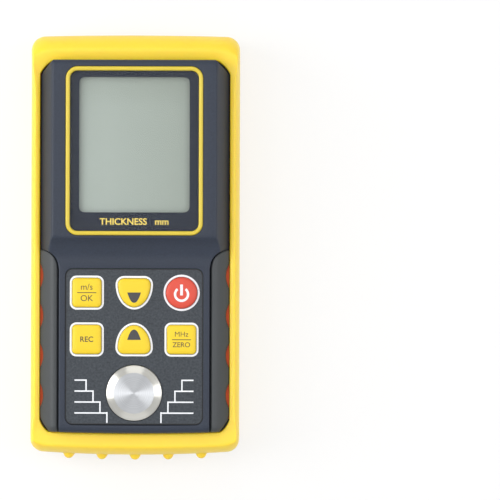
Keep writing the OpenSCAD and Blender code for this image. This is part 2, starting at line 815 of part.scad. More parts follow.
module window_mask() {
    color([0.05, 0.05, 0.07]) difference() {
        window_plate(window_z, mask_t);
        plate(view_w, view_l, view_r, view_y, window_z - 1, 3);
    }
}

module lcd_panel() {
    color([0.62, 0.65, 0.62]) plate(lcd_w, lcd_l, 0.4, view_y, lcd_top_z - lcd_t, lcd_t);
}

module lcd_frame() {
    grow = 2 * (holder_wall + seat_gap);
    color([0.85, 0.85, 0.83]) difference() {
        plate(lcd_w + grow, lcd_l + grow, 1, view_y, board_z, lcd_top_z - board_z);
        plate(lcd_w + 2 * seat_gap, lcd_l + 2 * seat_gap, 0.4, view_y, lcd_top_z - lcd_t, lcd_t + 1);
        plate(lcd_w - 2.4, lcd_l - 2.4, 0.4, view_y, board_z - 1, lcd_top_z - board_z + 2);
    }
}

module contact_strips() {
    color([0.8, 0.5, 0.6]) for (sy = [-1, 1])
        translate([-lcd_w / 2 + 3, view_y + sy * (lcd_l / 2 - 2.3) - 0.9, board_z])
            cube([lcd_w - 6, 1.8, lcd_top_z - lcd_t - board_z]);
}

module keypad_overlay() {
    color([0.3, 0.32, 0.34]) translate([0, 0, film_z]) linear_extrude(film_t) difference() {
        translate([0, film_y]) rounded_rect(film_w, film_l, film_r);
        for (n = [0:5]) translate(key_at[n]) key_outline(key_kind[n], key_gap);
        translate([0, disc_y]) circle(disc_d / 2 + 2 * seat_gap);
    }
}

// Printed staircase beside the disc, on the right.
module step_lines() {
    for (n = [0:3]) {
        y = disc_y + 4.6 - n * step_pitch;
        x = 17.2 - n * 2.5;
        translate([x - step_line / 2, y - step_line / 2]) square([21.6 - x, step_line]);
        translate([x - step_line / 2, y - step_pitch + (n == 3 ? 0.6 : 0) - step_line / 2])
            square([step_line, step_pitch]);
    }
}

module panel_print() {
    color([0.95, 0.95, 0.95]) translate([0, 0, film_top_z]) linear_extrude(print_t) difference() {
        union() {
            for (n = [0:5]) translate(key_at[n]) key_outline(key_kind[n], key_gap + outline_w);
            step_lines();
            mirror([1, 0]) step_lines();
        }
        for (n = [0:5]) translate(key_at[n]) key_outline(key_kind[n], key_gap);
        translate([0, disc_y]) circle(disc_d / 2 + 2 * seat_gap);
    }
}

// Key with a flange under the face, a shank through it and a pillow top.
module key(n) {
    kind = key_kind[n];
    base_z = film_top_z + 0.3;
    pillow_h = key_rise - 0.3;
    translate([key_at[n][0], key_at[n][1], 0]) {
        translate([0, 0, flange_z]) linear_extrude(key_flange_t) key_outline(kind, key_flange);
        translate([0, 0, flange_z]) linear_extrude(base_z - flange_z) key_outline(kind);
        hull() {
            translate([0, 0, base_z - 0.1]) linear_extrude(0.1) key_outline(kind, $fn = 32);
            translate([0, 0, base_z]) linear_extrude(0.6 * pillow_h) key_outline(kind, -0.4, $fn = 32);
            translate([0, 0, base_z]) linear_extrude(pillow_h) key_outline(kind, -1.2, $fn = 32);
        }
    }
}

module key_select() {
    color([0.95, 0.82, 0.18]) key(0);
}

module key_down() {
    color([0.95, 0.82, 0.18]) key(1);
}

module key_power() {
    color([0.85, 0.22, 0.16]) key(2);
}

module key_memory() {
    color([0.95, 0.82, 0.18]) key(3);
}

module key_up() {
    color([0.95, 0.82, 0.18]) key(4);
}

module key_zero() {
    color([0.95, 0.82, 0.18]) key(5);
}

module dome_mat() {
    mid_y = (row_top_y + row_low_y) / 2;
    color([0.75, 0.76, 0.78]) difference() {
        union() {
            plate(2 * column_pitch + 11.6, row_pitch + 13, 2, mid_y, board_z, dome_sheet_t);
            for (p = key_at) translate([p[0], p[1], board_z]) cylinder(h = dome_h, r1 = 4.6, r2 = 3);
        }
        for (p = key_at)
            translate([p[0], p[1], board_z - 1]) cylinder(h = dome_h - 0.4, r1 = 4.2, r2 = 2.4);
    }
}

module calibration_disc() {
    cone_h = disc_proud - 0.4;
    color([0.75, 0.75, 0.74]) translate([0, disc_y, disc_z]) {
        cylinder(h = disc_t - cone_h, r = disc_d / 2);
        translate([0, 0, disc_t - cone_h]) cylinder(h = cone_h, r1 = disc_d / 2, r2 = disc_flat_d / 2);
    }
}

module main_board() {
    color([0.1, 0.35, 0.2]) translate([0, 0, board_low_z]) linear_extrude(board_t) difference() {
        union() {
            translate([-cavity_half + 0.4, step_low + 6.4])
                square([2 * cavity_half - 0.8, board_top_y - step_low - 6.4]);
            translate([-strip_cavity_half + 0.4, board_low_y])
                square([2 * strip_cavity_half - 0.8, step_low + 7 - board_low_y]);
        }
        for (p = case_screw_at) translate(p) circle(boss_r + 0.4);
        for (p = board_post_at) translate(p) circle(board_screw_r + 0.15);
    }
}

// Body of a component that hangs under the board.
module under_board(x, y, w, l, h, r = 0.3) {
    translate([x, y, board_low_z - h]) linear_extrude(h) rounded_rect(w, l, r);
}

module controller_chip() {
    color([0.08, 0.08, 0.09])
        under_board(0, view_y - component_down, controller_w, controller_w, controller_t);
}

module amplifier_chip() {
    color([0.08, 0.08, 0.09])
        under_board(component_x, view_y + component_up, amplifier_w, amplifier_l, amplifier_t);
}

module pulse_transformer() {
    color([0.25, 0.23, 0.22]) difference() {
        under_board(-component_x, view_y + component_up, transformer_w, transformer_l, transformer_h);
        for (sy = [-1, 1])
            translate([-component_x - transformer_w / 2 - 0.5,
                view_y + component_up + sy * (transformer_l / 2 - 0.6) - 0.8,
                board_low_z - transformer_h / 2 - winding_h / 2])
                    cube([transformer_w + 1, 1.6, winding_h]);
    }
}

module reservoir_capacitor() {
    color([0.7, 0.7, 0.72]) translate([0, view_y + component_up, board_low_z - capacitor_h])
        cylinder(h = capacitor_h, r = capacitor_d / 2);
}

module timing_crystal() {
    end_r = crystal_w / 2 - 0.1;
    color([0.75, 0.75, 0.75])
        under_board(component_x, view_y - component_down, crystal_w, crystal_l, crystal_h, end_r);
}

module socket_shell() {
    translate([0, 0, socket_z]) rotate([-90, 0, 0]) difference() {
        union() {
            translate([0, 0, socket_end_y]) cylinder(h = socket_face_y - socket_end_y, r = socket_r);
            translate([0, 0, case_l / 2 - case_wall - socket_flange_t])
                cylinder(h = socket_flange_t, r = socket_flange_r);
        }
        translate([0, 0, socket_face_y - socket_bore_l]) cylinder(h = socket_bore_l + 1, r = socket_bore_r);
        translate([0, 0, socket_end_y - 1]) cylinder(h = socket_face_y - socket_end_y, r = insulator_r);
    }
}

module probe_socket_left() {
    color([0.72, 0.71, 0.68]) translate([-socket_pitch / 2, 0, 0]) socket_shell();
}

module probe_socket_right() {
    color([0.72, 0.71, 0.68]) translate([socket_pitch / 2, 0, 0]) socket_shell();
}

module socket_nuts() {
    color([0.7, 0.69, 0.66]) for (sx = [-1, 1])
        translate([sx * socket_pitch / 2, case_l / 2, socket_z]) rotate([-90, 0, 0]) difference() {
            cylinder(h = nut_t, r = nut_af / sqrt(3), $fn = 6);
            translate([0, 0, -1]) cylinder(h = nut_t + 2, r = socket_r);
        }
}

module socket_insulators() {
    length = socket_face_y - socket_bore_l - 0.6 - socket_end_y;
    color([0.93, 0.93, 0.9]) for (sx = [-1, 1])
        translate([sx * socket_pitch / 2, socket_end_y, socket_z]) rotate([-90, 0, 0]) difference() {
            cylinder(h = length, r = insulator_r);
            translate([0, 0, -1]) cylinder(h = length + 2, r = contact_r);
        }
}

module socket_contacts() {
    length = socket_face_y - socket_bore_l - 0.3 - socket_end_y;
    color([0.83, 0.66, 0.3]) for (sx = [-1, 1])
        translate([sx * socket_pitch / 2, socket_end_y, socket_z]) rotate([-90, 0, 0])
            cylinder(h = length, r = contact_r);
}

// Lead that runs along Y from a start, bends and rises to the board.
module bent_lead(x, y, z, direction, bend) {
    translate([x, y, z]) mirror([0, direction < 0 ? 1 : 0, 0]) {
        rotate([-90, 0, 0]) cylinder(h = 1, r = lead_r);
        translate([0, 1, bend]) rotate([0, 90, 0])
            rotate_extrude(angle = 90) translate([bend, 0]) circle(lead_r);
        translate([0, 1 + bend, bend]) cylinder(h = board_low_z - z - bend, r = lead_r);
    }
}

module probe_leads() {
    color([0.1, 0.1, 0.1]) for (sx = [-1, 1])
        bent_lead(sx * socket_pitch / 2, socket_end_y, socket_z, -1, 4);
}

module battery_leads() {
    color([0.6, 0.1, 0.1]) for (sx = [-1, 1])
        bent_lead(sx * (bay_w / 2 - lead_inset), bay_top + bay_wall, cell_z + 1, 1, 3);
}

module battery_cells() {
    color([0.45, 0.5, 0.55]) for (n = [0:3]) {
        x = (n - 1.5) * (cell_d + cell_gap);
        turn = n % 2 == 0 ? 1 : -1;
        translate([x, bay_y - turn * cell_l / 2, cell_z]) rotate([-90 * turn, 0, 0]) {
            cylinder(h = cell_l - 1, r = cell_d / 2);
            translate([0, 0, cell_l - 1.5]) cylinder(h = 1.5, r = 1.9);
        }
    }
}

// Bent leaf that fills the room between a bay end and a cell.
module leaf(depth) {
    translate([-leaf_w / 2, 0, -leaf_h / 2]) cube([leaf_w, leaf_t, leaf_h]);
    translate([-leaf_w / 2, 0, -leaf_t / 2]) cube([leaf_w, depth, leaf_t]);
    translate([-leaf_w / 2, depth - leaf_t, -pad_h / 2]) cube([leaf_w, leaf_t, pad_h]);
}

module battery_contacts() {
    depth = contact_room / 2;
    color([0.75, 0.75, 0.72]) for (n = [0:3]) {
        x = (n - 1.5) * (cell_d + cell_gap);
        translate([x, bay_low, cell_z]) leaf(depth);
        translate([x, bay_top, cell_z]) mirror([0, 1, 0]) leaf(depth);
    }
}

module battery_door() {
    color([0.19, 0.2, 0.22]) {
        translate([-door_half, door_low, back_z]) cube([2 * door_half, hinge_y - door_low, door_t]);
        intersection() {
            translate([0, hinge_y, hinge_z]) rotate([0, 90, 0])
                cylinder(h = 2 * door_half, r = hinge_rise, center = true);
            translate([-door_half, hinge_y - 1, back_z]) cube([2 * door_half, 9, hinge_rise]);
        }
        translate([0, hinge_y, hinge_z]) rotate([0, 90, 0])
            cylinder(h = 2 * (door_half + hinge_pin_l), r = hinge_pin_r, center = true);
        for (n = [0:4])
            translate([-8, door_low + 4 + 2.4 * n, back_z - 0.4]) cube([16, 1.2, 1]);
    }
}

module case_screws() {
    color([0.6, 0.6, 0.6]) for (p = case_screw_at)
        translate([p[0], p[1], screw_seat_z]) difference() {
            union() {
                translate([0, 0, -screw_head_t]) cylinder(h = screw_head_t, r = screw_head_r);
                cylinder(h = screw_l, r = screw_r);
            }
            translate([0, 0, -screw_head_t]) {
                cube([drive_l, drive_w, 2 * drive_depth], center = true);
                cube([drive_w, drive_l, 2 * drive_depth], center = true);
            }
        }
}

module board_screws() {
    color([0.6, 0.6, 0.6]) for (p = board_post_at)
        translate([p[0], p[1], board_low_z]) {
            translate([0, 0, -board_head_t]) cylinder(h = board_head_t, r = board_head_r);
            cylinder(h = board_t + board_screw_bite, r = board_screw_r);
        }
}

placed() boot();
placed() front_case();
placed() rear_case();
placed() left_grip();
placed() right_grip();
placed() left_side_strip();
placed() right_side_strip();
placed() window_frame();
placed() display_window();
placed() window_mask();
placed() lcd_panel();
placed() lcd_frame();
placed() contact_strips();
placed() keypad_overlay();
placed() panel_print();
placed() key_select();
placed() key_down();
placed() key_power();
placed() key_memory();
placed() key_up();
placed() key_zero();
placed() dome_mat();
placed() calibration_disc();
placed() main_board();
placed() controller_chip();
placed() amplifier_chip();
placed() pulse_transformer();
placed() reservoir_capacitor();
placed() timing_crystal();
placed() probe_socket_left();
placed() probe_socket_right();
placed() socket_nuts();
placed() socket_insulators();
placed() socket_contacts();
placed() probe_leads();
placed() battery_cells();
placed() battery_contacts();
placed() battery_leads();
placed() battery_door();
placed() case_screws();
placed() board_screws();
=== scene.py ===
"""Looks of a handheld ultrasonic thickness gauge that lies on its back in a yellow rubber boot.

Lengths are written in millimetres in the gauge's own frame: X to the right, Y towards the probe
sockets, Z out of the face. The CAD moves that frame by MOVE along Y, so that its box is centred.
"""

import math

import bmesh
import bpy
import numpy as np
from mathutils import Matrix, Vector


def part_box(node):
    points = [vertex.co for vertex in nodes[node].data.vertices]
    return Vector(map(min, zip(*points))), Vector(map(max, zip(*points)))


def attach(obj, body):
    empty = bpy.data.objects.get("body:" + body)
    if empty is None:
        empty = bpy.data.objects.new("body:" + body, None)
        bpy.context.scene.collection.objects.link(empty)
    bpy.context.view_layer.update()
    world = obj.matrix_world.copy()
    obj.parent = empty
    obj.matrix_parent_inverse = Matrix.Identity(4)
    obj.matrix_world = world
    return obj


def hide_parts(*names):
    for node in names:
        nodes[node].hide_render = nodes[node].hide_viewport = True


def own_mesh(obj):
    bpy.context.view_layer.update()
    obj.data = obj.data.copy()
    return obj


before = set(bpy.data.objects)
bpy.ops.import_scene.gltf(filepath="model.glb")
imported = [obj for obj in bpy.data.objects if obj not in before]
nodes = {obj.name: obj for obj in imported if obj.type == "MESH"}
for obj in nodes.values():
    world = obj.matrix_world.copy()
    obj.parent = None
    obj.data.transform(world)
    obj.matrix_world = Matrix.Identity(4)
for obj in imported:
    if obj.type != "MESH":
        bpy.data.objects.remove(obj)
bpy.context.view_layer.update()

MM = 0.001
MOVE = 0.96
QUARTER = math.pi / 2


def extent(node):
    """Corners of a CAD node in millimetres of the gauge's own frame."""
    return [np.array(corner) / MM - [0, MOVE, 0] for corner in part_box(node)]


# Heights of the plateau, the keypad level and the shoulder
PLATEAU, FACE, SHOULDER = 35.0, 32.0, 24.0

# Half widths of the keypad strip and of the raised face, its ends and its cut corners
STRIP, RAISED = 27.1, 34.1
FACE_LOW, FACE_TOP = -67.3, 66.3
TOP_CUT, LOW_CUT = (5.0, 5.0), (3.5, 4.6)

# Rounding of the two ends, and how far in from each end the flat patches stop
TOP_ROUND, LOW_ROUND = 1.7, 2.2
TOP_BAND, LOW_BAND = 0.9, 1.3

# Side bevel of the plateau: where it starts and how much it falls per millimetre
BEVEL_AT, BEVEL_FALL = 29.4, 2.0

# Pieces that lie in recesses of the face, with their clearance and corner radii
SEAT_GAP = 0.1
FRAME, FILM = extent("window_frame"), extent("keypad_overlay")
FRAME_R, FILM_R = 4.3, 2.7

# Cove between plateau and keypad, and the round seats of the grips
COVE_RUN, COVE_R = 8.1, 12.435
COVE_TOP = FRAME[0][1] - 0.9
COVE_LOW = COVE_TOP - COVE_RUN
SEAT_Y, SEAT_R = -8.7, 7.0

# Bow of the low end of the face: its depth, its half width, where it starts and how fast it grows
LOW_BOW, LOW_BOW_HALF, LOW_BOW_FROM, LOW_BOW_RUN = 0.5, 31.0, -62.5, 4.5

# Middle of the calibration disc and the radius at which its bevel starts
DISC_Y, DISC_FLAT = -53.2, 7.3

# Edges that turn by more than this many degrees stay sharp
CREASE = 38.0


# Finishes

class Wire:
    """One socket of a finish. Arithmetic on it makes Math nodes in the same finish."""

    def __init__(self, finish, socket):
        self.finish = finish
        self.socket = socket

    def math(self, operation, *others):
        """Math node that takes this wire first."""
        return self.finish.make("ShaderNodeMath", {"operation": operation}, self, *others)

    def __add__(self, other):
        return self.math("ADD", other)

    def __sub__(self, other):
        return self.math("SUBTRACT", other)

    def __mul__(self, other):
        return self.math("MULTIPLY", other)

    def __pow__(self, other):
        return self.math("POWER", other)

    __radd__ = __add__
    __rmul__ = __mul__


class Finish:
    """A material and its nodes. A world is made the same way."""

    def __init__(self, name, store="materials", out="ShaderNodeOutputMaterial"):
        self.material = getattr(bpy.data, store).new(name)
        self.material.use_nodes = True
        self.tree = self.material.node_tree
        self.tree.nodes.clear()
        self.out = self.tree.nodes.new(out)

    def feed(self, socket, value):
        """Links a wire to an input, or writes a constant on it."""
        if isinstance(value, Wire):
            self.tree.links.new(value.socket, socket)
        else:
            socket.default_value = value

    def make(self, kind, settings=None, *places, out=0, **named):
        """Any node: its settings first, then values or wires by place or by name (spaces as _)."""
        node = self.tree.nodes.new(kind)
        for key, value in (settings or {}).items():
            setattr(node, key, value)
        for place, value in enumerate(places):
            self.feed(node.inputs[place], value)
        for key, value in named.items():
            self.feed(node.inputs[key.replace("_", " ")], value)
        return Wire(self, node.outputs[out])

    def vector(self, operation, *places, **named):
        """Vector Math node."""
        return self.make("ShaderNodeVectorMath", {"operation": operation}, *places, **named)

    def place(self):
        """Object coordinates in millimetres."""
        return self.vector("SCALE", self.make("ShaderNodeTexCoord", out="Object"), Scale=1 / MM)

    def axes(self, vector):
        """The three parts of a vector."""
        node = self.tree.nodes.new("ShaderNodeSeparateXYZ")
        self.feed(node.inputs[0], vector)
        return [Wire(self, socket) for socket in node.outputs]

    def noise(self, vector, scale, detail=2.0, rough=0.5):
        """Cloudy noise, with its scale in waves per millimetre."""
        return self.make("ShaderNodeTexNoise", Vector=vector, Scale=scale, Detail=detail, Roughness=rough)

    def span(self, wire, low, high, start=0.0, end=1.0):
        """Maps low..high of a wire to start..end, held at both ends."""
        return self.make("ShaderNodeMapRange", {"clamp": True}, wire, low, high, start, end)

    def spread(self, noise, start=0.0, end=1.0):
        """Maps the range that a noise mostly keeps to, 0.3 to 0.7, to start..end."""
        return self.span(noise, 0.3, 0.7, start, end)

    def blend(self, share, first, second):
        """Colour between two colours."""
        node = self.tree.nodes.new("ShaderNodeMix")
        node.data_type = "RGBA"
        self.feed(node.inputs[0], share)
        for place, colour in ((6, first), (7, second)):
            self.feed(node.inputs[place], colour if isinstance(colour, Wire) else (*colour[:3], 1.0))
        return Wire(self, node.outputs[2])

    def bump(self, height, strength, distance):
        """Normal of a surface that a height shapes."""
        return self.make("ShaderNodeBump", Strength=strength, Distance=distance, Height=height)

    def shade(self, **named):
        """Ends the finish with a Principled shader."""
        return self.surface(self.make("ShaderNodeBsdfPrincipled", **named))

    def surface(self, shader):
        """Ends the finish with any shader."""
        self.tree.links.new(shader.socket, self.out.inputs["Surface"])
        return self.material


def paint(red, green, blue):
    """Linear colour of an sRGB colour that is written from 0 to 255."""
    share = np.array([red, green, blue]) / 255
    linear = np.where(share <= 0.04045, share / 12.92, ((share + 0.055) / 1.055) ** 2.4)
    return tuple(float(part) for part in linear)


def moulded(name, low, high, rough, grain, depth, mottle=0.02, speck=0.35, sheen=0.5, soft=0.0):
    """Moulded rubber or plastic: two close tones in slow clouds, a fine spark grain and uneven gloss.

    Speck is the grain's share of the tone, and soft the share of light that goes in and comes out
    near by, as in clear rubber.
    """
    f = Finish(name)
    at = f.place()
    clouds = f.noise(at, mottle, 4.0)
    fine = f.noise(at, grain, 3.0, 0.6)
    specks = f.noise(at, grain * 2.3, 1.0)
    return f.shade(
        Base_Color=f.blend(f.spread(clouds * (1 - speck) + fine * speck), paint(*low), paint(*high)),
        Roughness=f.span(fine * 0.6 + clouds * 0.4, 0.25, 0.75, rough - 0.06, rough + 0.06),
        Specular_IOR_Level=sheen,
        Subsurface_Weight=soft,
        Subsurface_Scale=2.2 * MM,
        Subsurface_Radius=(1.0, 0.6, 0.12),
        Normal=f.bump(fine * 0.7 + specks * 0.3, 1.0, depth * MM))


def inked(name, low, high, rough=0.45, sheen=0.5):
    """Screen ink: a thin even film with a slightly broken tone."""
    f = Finish(name)
    fine = f.noise(f.place(), 4.0)
    return f.shade(
        Base_Color=f.blend(f.spread(fine), paint(*low), paint(*high)),
        Roughness=f.spread(fine, rough - 0.05, rough + 0.05),
        Specular_IOR_Level=sheen,
        Normal=f.bump(fine, 0.2, 0.004 * MM))


def bare_metal(name, low, high, rough, stretch=(1.0, 1.0, 1.0), depth=0.004):
    """Plated or drawn metal: fine draw marks along the stretched axis."""
    f = Finish(name)
    marks = f.noise(f.vector("MULTIPLY", f.place(), stretch), 3.0, 4.0, 0.6)
    return f.shade(
        Base_Color=f.blend(f.spread(marks), paint(*low), paint(*high)),
        Metallic=1.0,
        Roughness=f.span(marks, 0.25, 0.75, rough - 0.06, rough + 0.08),
        Normal=f.bump(marks, 0.8, depth * MM))


def turned_steel(name):
    """Faced steel: grooves round the disc's middle draw each highlight into a fan towards its light."""
    f = Finish(name)
    from_middle = f.vector("SUBTRACT", f.place(), (0.0, DISC_Y + MOVE, 0.0))
    radius = f.vector("LENGTH", f.vector("MULTIPLY", from_middle, (1.0, 1.0, 0.0)), out="Value")
    wear = f.make("ShaderNodeTexNoise", {"noise_dimensions": "1D"}, W=radius, Scale=3.0, Detail=3.0)
    bevel = f.span(radius, DISC_FLAT - 0.1, DISC_FLAT + 0.1)
    flat = f.blend(f.spread(wear), paint(172, 174, 177), paint(186, 188, 191))
    return f.shade(
        Base_Color=f.blend(bevel, flat, paint(202, 201, 195)),
        Metallic=1.0,
        Roughness=f.spread(wear, 0.44, 0.48) - 0.16 * bevel,
        Anisotropic=0.92,
        Anisotropic_Rotation=0.25)


def clear_sheet(name):
    """Clear plastic: light passes, and gloss grows with the fifth power of how far it turns away."""
    f = Finish(name)
    haze = f.noise(f.place(), 0.05, 3.0)
    gloss = f.make("ShaderNodeBsdfGlossy", Color=(1, 1, 1, 1), Roughness=f.spread(haze, 0.05, 0.09))
    through = f.make("ShaderNodeBsdfTransparent", Color=(0.97, 0.975, 0.975, 1))
    away = f.make("ShaderNodeLayerWeight", Blend=0.5, out="Facing")
    return f.surface(f.make("ShaderNodeMixShader", None, 0.008 + 0.5 * away ** 5, through, gloss))


def crystal_panel(name):
    """Resting liquid crystal: a grey green polariser, with painted shade that darkens it to the right and
    at its upper end.
    """
    f = Finish(name)
    at = f.place()
    x, y, _ = f.axes(at)
    # Painted shade: darker to the right, away from the left lamps, and at the upper end under the mask's
    # shadow
    painted_shade = f.span(x, -12.0, 20.0, 0.0, 0.7) + f.span(y, 50.0, 60.0, 0.0, 0.5)
    share = f.span(painted_shade + f.noise(at, 0.03) * 0.25, 0.0, 1.2)
    return f.shade(
        Base_Color=f.blend(share, paint(169, 178, 171), paint(148, 156, 147)),
        Roughness=f.spread(f.noise(at, 6.0), 0.42, 0.5),
        Specular_IOR_Level=0.2)


# Two tones, roughness, waves of grain per millimetre and its depth, then what differs from the usual
MOULDED = {
    "boot_rubber": ((253, 213, 40), (255, 218, 52), 0.38, 1.3, 0.005, {"sheen": 0.62, "soft": 0.3}),
    "case_plastic": ((28, 36, 50), (38, 47, 63), 0.46, 1.5, 0.016, {"speck": 0.7, "sheen": 0.4}),
    "rear_plastic": ((52, 56, 63), (58, 62, 70), 0.52, 2.2, 0.014, {}),
    "grip_rubber": ((50, 54, 57), (58, 62, 64), 0.5, 1.8, 0.012, {}),
    "strip_rubber": ((222, 80, 18), (232, 88, 22), 0.55, 1.8, 0.01, {}),
    "frame_plastic": ((210, 185, 52), (216, 193, 60), 0.36, 1.6, 0.004, {}),
    "film_plastic": ((30, 36, 43), (62, 68, 75), 0.48, 1.3, 0.05,
                     {"mottle": 0.08, "speck": 0.85, "sheen": 0.4}),
    "holder_plastic": ((214, 214, 208), (222, 222, 216), 0.5, 1.6, 0.006, {}),
    "contact_rubber": ((196, 120, 142), (206, 132, 152), 0.6, 1.6, 0.006, {}),
    "key_yellow": ((234, 200, 40), (238, 206, 50), 0.42, 1.6, 0.004, {"sheen": 0.35}),
    "key_red": ((210, 75, 58), (216, 83, 66), 0.42, 1.6, 0.004, {"sheen": 0.35}),
    "dome_rubber": ((186, 188, 192), (196, 198, 202), 0.5, 1.6, 0.006, {}),
    "board_laminate": ((26, 92, 54), (34, 104, 62), 0.4, 1.2, 0.01, {}),
    "chip_plastic": ((30, 30, 32), (38, 38, 40), 0.55, 3.0, 0.01, {}),
    "ferrite": ((58, 54, 52), (68, 64, 62), 0.6, 2.4, 0.02, {}),
    "insulator_plastic": ((236, 234, 226), (242, 240, 232), 0.45, 1.6, 0.004, {}),
    "lead_black": ((26, 26, 27), (32, 32, 33), 0.5, 1.6, 0.006, {}),
    "lead_red": ((166, 28, 26), (176, 34, 30), 0.5, 1.6, 0.006, {}),
    "cell_sleeve": ((104, 116, 128), (118, 130, 142), 0.35, 0.8, 0.004, {}),
}

# Two tones and roughness, then the stretch of the draw marks and their depth where they differ
METALS = {
    "can_aluminium": ((196, 197, 200), (214, 215, 217), 0.3, (1, 1, 0.1)),
    "socket_nickel": ((196, 193, 186), (214, 211, 204), 0.26, (1, 0.1, 1), 0.0015),
    "contact_gold": ((214, 172, 88), (226, 186, 104), 0.26, (1, 0.1, 1)),
    "contact_steel": ((190, 190, 186), (208, 208, 204), 0.28, (1, 1, 0.1)),
    "screw_steel": ((150, 150, 152), (172, 172, 174), 0.34),
}

FINISHES = {name: moulded(name, *values, **more) for name, (*values, more) in MOULDED.items()}
FINISHES.update({name: bare_metal(name, *values) for name, values in METALS.items()})
FINISHES["mask_black"] = inked("mask_black", (26, 33, 48), (30, 37, 52), 0.4, 0.2)
FINISHES["print_white"] = inked("print_white", (232, 235, 240), (240, 242, 246))
FINISHES["disc_steel"] = turned_steel("disc_steel")
FINISHES["window_clear"] = clear_sheet("window_clear")
FINISHES["lcd_glass"] = crystal_panel("lcd_glass")

LEGEND = inked("legend_dark", (70, 62, 40), (78, 69, 46))
SIGN = inked("sign_dark", (52, 52, 54), (60, 60, 62))
# Dark ink for the painted shade of the groove round the keypad film
GROOVE_SHADE = inked("border_dark", (16, 18, 22), (22, 24, 28), 0.6)
CAPTION = inked("caption_yellow", (236, 208, 92), (244, 218, 104))


# Meshes

def cells(rows, columns, around, closed):
    """Corners of each cell of a grid, row by row. Around joins the last column to the first."""
    i = np.arange(rows if closed else rows - 1)[:, None]
    j = np.arange(columns if around else columns - 1)[None, :]
    far, right = (i + 1) % rows, (j + 1) % columns
    corners = [i * columns + j, i * columns + right, far * columns + right, far * columns + j]
    return np.stack(corners, -1).reshape(-1, 4)


def piece(name, grids, finish, stands_for=(), body="gauge", crease=CREASE, weld=0.004, outward=None):
    """One object from grids of points in millimetres. Each grid is (points, around, closed).

    Outward is the direction in which an open piece shows its faces.
    """
    points, faces, start = [], [], 0
    for grid, around, closed in grids:
        rows, columns = grid.shape[:2]
        points.append(grid.reshape(-1, 3))
        faces.append(cells(rows, columns, around, closed) + start)
        start += rows * columns
    points = (np.concatenate(points) + [0.0, MOVE, 0.0]) * MM
    faces = np.concatenate(faces)
    mesh = bpy.data.meshes.new(name)
    mesh.vertices.add(len(points))
    mesh.vertices.foreach_set("co", points.astype(np.float32).ravel())
    mesh.loops.add(faces.size)
    mesh.loops.foreach_set("vertex_index", faces.astype(np.int32).ravel())
    mesh.polygons.add(len(faces))
    mesh.polygons.foreach_set("loop_start", np.arange(0, faces.size, 4, dtype=np.int32))
    mesh.update(calc_edges=True)
    tidy = bmesh.new()
    tidy.from_mesh(mesh)
    bmesh.ops.remove_doubles(tidy, verts=tidy.verts, dist=weld * MM)
    bmesh.ops.dissolve_degenerate(tidy, edges=tidy.edges, dist=1e-7)
    bmesh.ops.recalc_face_normals(tidy, faces=tidy.faces)
    if outward is not None:
        lean = sum((f.normal.dot(Vector(outward)) * f.calc_area() for f in tidy.faces), 0.0)
        if lean < 0:
            bmesh.ops.reverse_faces(tidy, faces=tidy.faces)
    tidy.to_mesh(mesh)
    tidy.free()
    obj = bpy.data.objects.new(name, mesh)
    bpy.context.scene.collection.objects.link(obj)
    return dress(obj, finish, stands_for, body, crease)


def dress(obj, finish, stands_for=(), body="gauge", crease=CREASE):
    """Gives a mesh its finish, its smooth shading and its body."""
    obj.data.materials.clear()
    obj.data.materials.append(FINISHES[finish] if isinstance(finish, str) else finish)
    smooth(obj, crease)
    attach(obj, body)
    if stands_for:
        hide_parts(*stands_for)
    return obj


def smooth(obj, crease):
    """Smooth shading, with the edges that turn by more than the crease kept sharp."""
    obj.data.shade_smooth()
    obj.data.set_sharp_from_angle(angle=math.radians(crease))


def turn_round(count):
    """Angles of a full turn."""
    return np.linspace(0, 2 * math.pi, count, endpoint=False)


def plan_of(x, y):
    """Plan curve from its two parts, either of which may be one number."""
    return np.stack(np.broadcast_arrays(x, y), -1)


def points_of(x, y, z):
    """Points in space from their three parts, any of which may be one number."""
    return np.stack(np.broadcast_arrays(x, y, z), -1)


def lift(plan, height):
    """Points in space from a plan curve and one height, or a height for each point."""
    return points_of(plan[:, 0], plan[:, 1], height)


def dropped(points, height):
    """The same points at one height."""
    return points * [1, 1, 0] + [0, 0, height]


def turned(profile, x, y, count):
    """Profile of radius and height turned round an upright axis."""
    t = turn_round(count)
    return np.stack([points_of(x + r * np.cos(t), y + r * np.sin(t), z) for r, z in profile])


def mirrored(grid):
    """The same grid on the other side of the gauge."""
    return grid * [-1.0, 1.0, 1.0]


def stretches(*runs):
    """Values along joined runs of (start, end, steps), each end written once."""
    parts = [np.linspace(start, end, steps + 1)[:-1] for start, end, steps in runs]
    return np.concatenate([*parts, [runs[-1][1]]])


def hinge(t, width):
    """Zero before 0 and t after it, with a bend of that width."""
    return (t + np.sqrt(t * t + width * width)) / 2


def lesser(a, b, width):
    """The lower of two heights, with their meeting rounded."""
    return (a + b - np.sqrt((a - b) ** 2 + width * width)) / 2


def edge_drop(inside, r):
    """How far an edge of radius r lies under the flat, at a distance inside the outline."""
    reach = np.clip(r - inside, 0.0, r)
    return r - np.sqrt(np.maximum(r * r - reach * reach, 0.0))


def ease(t):
    """Smooth step from 0 to 1."""
    t = np.clip(t, 0.0, 1.0)
    return t * t * (3 - 2 * t)


# Steps of a closed plan curve: along its sides, along its ends and round a corner
SIDE = np.linspace(0, 1, 72, endpoint=False)
END = np.linspace(0, 1, 40, endpoint=False)
TURN = np.linspace(0, QUARTER, 14, endpoint=False)


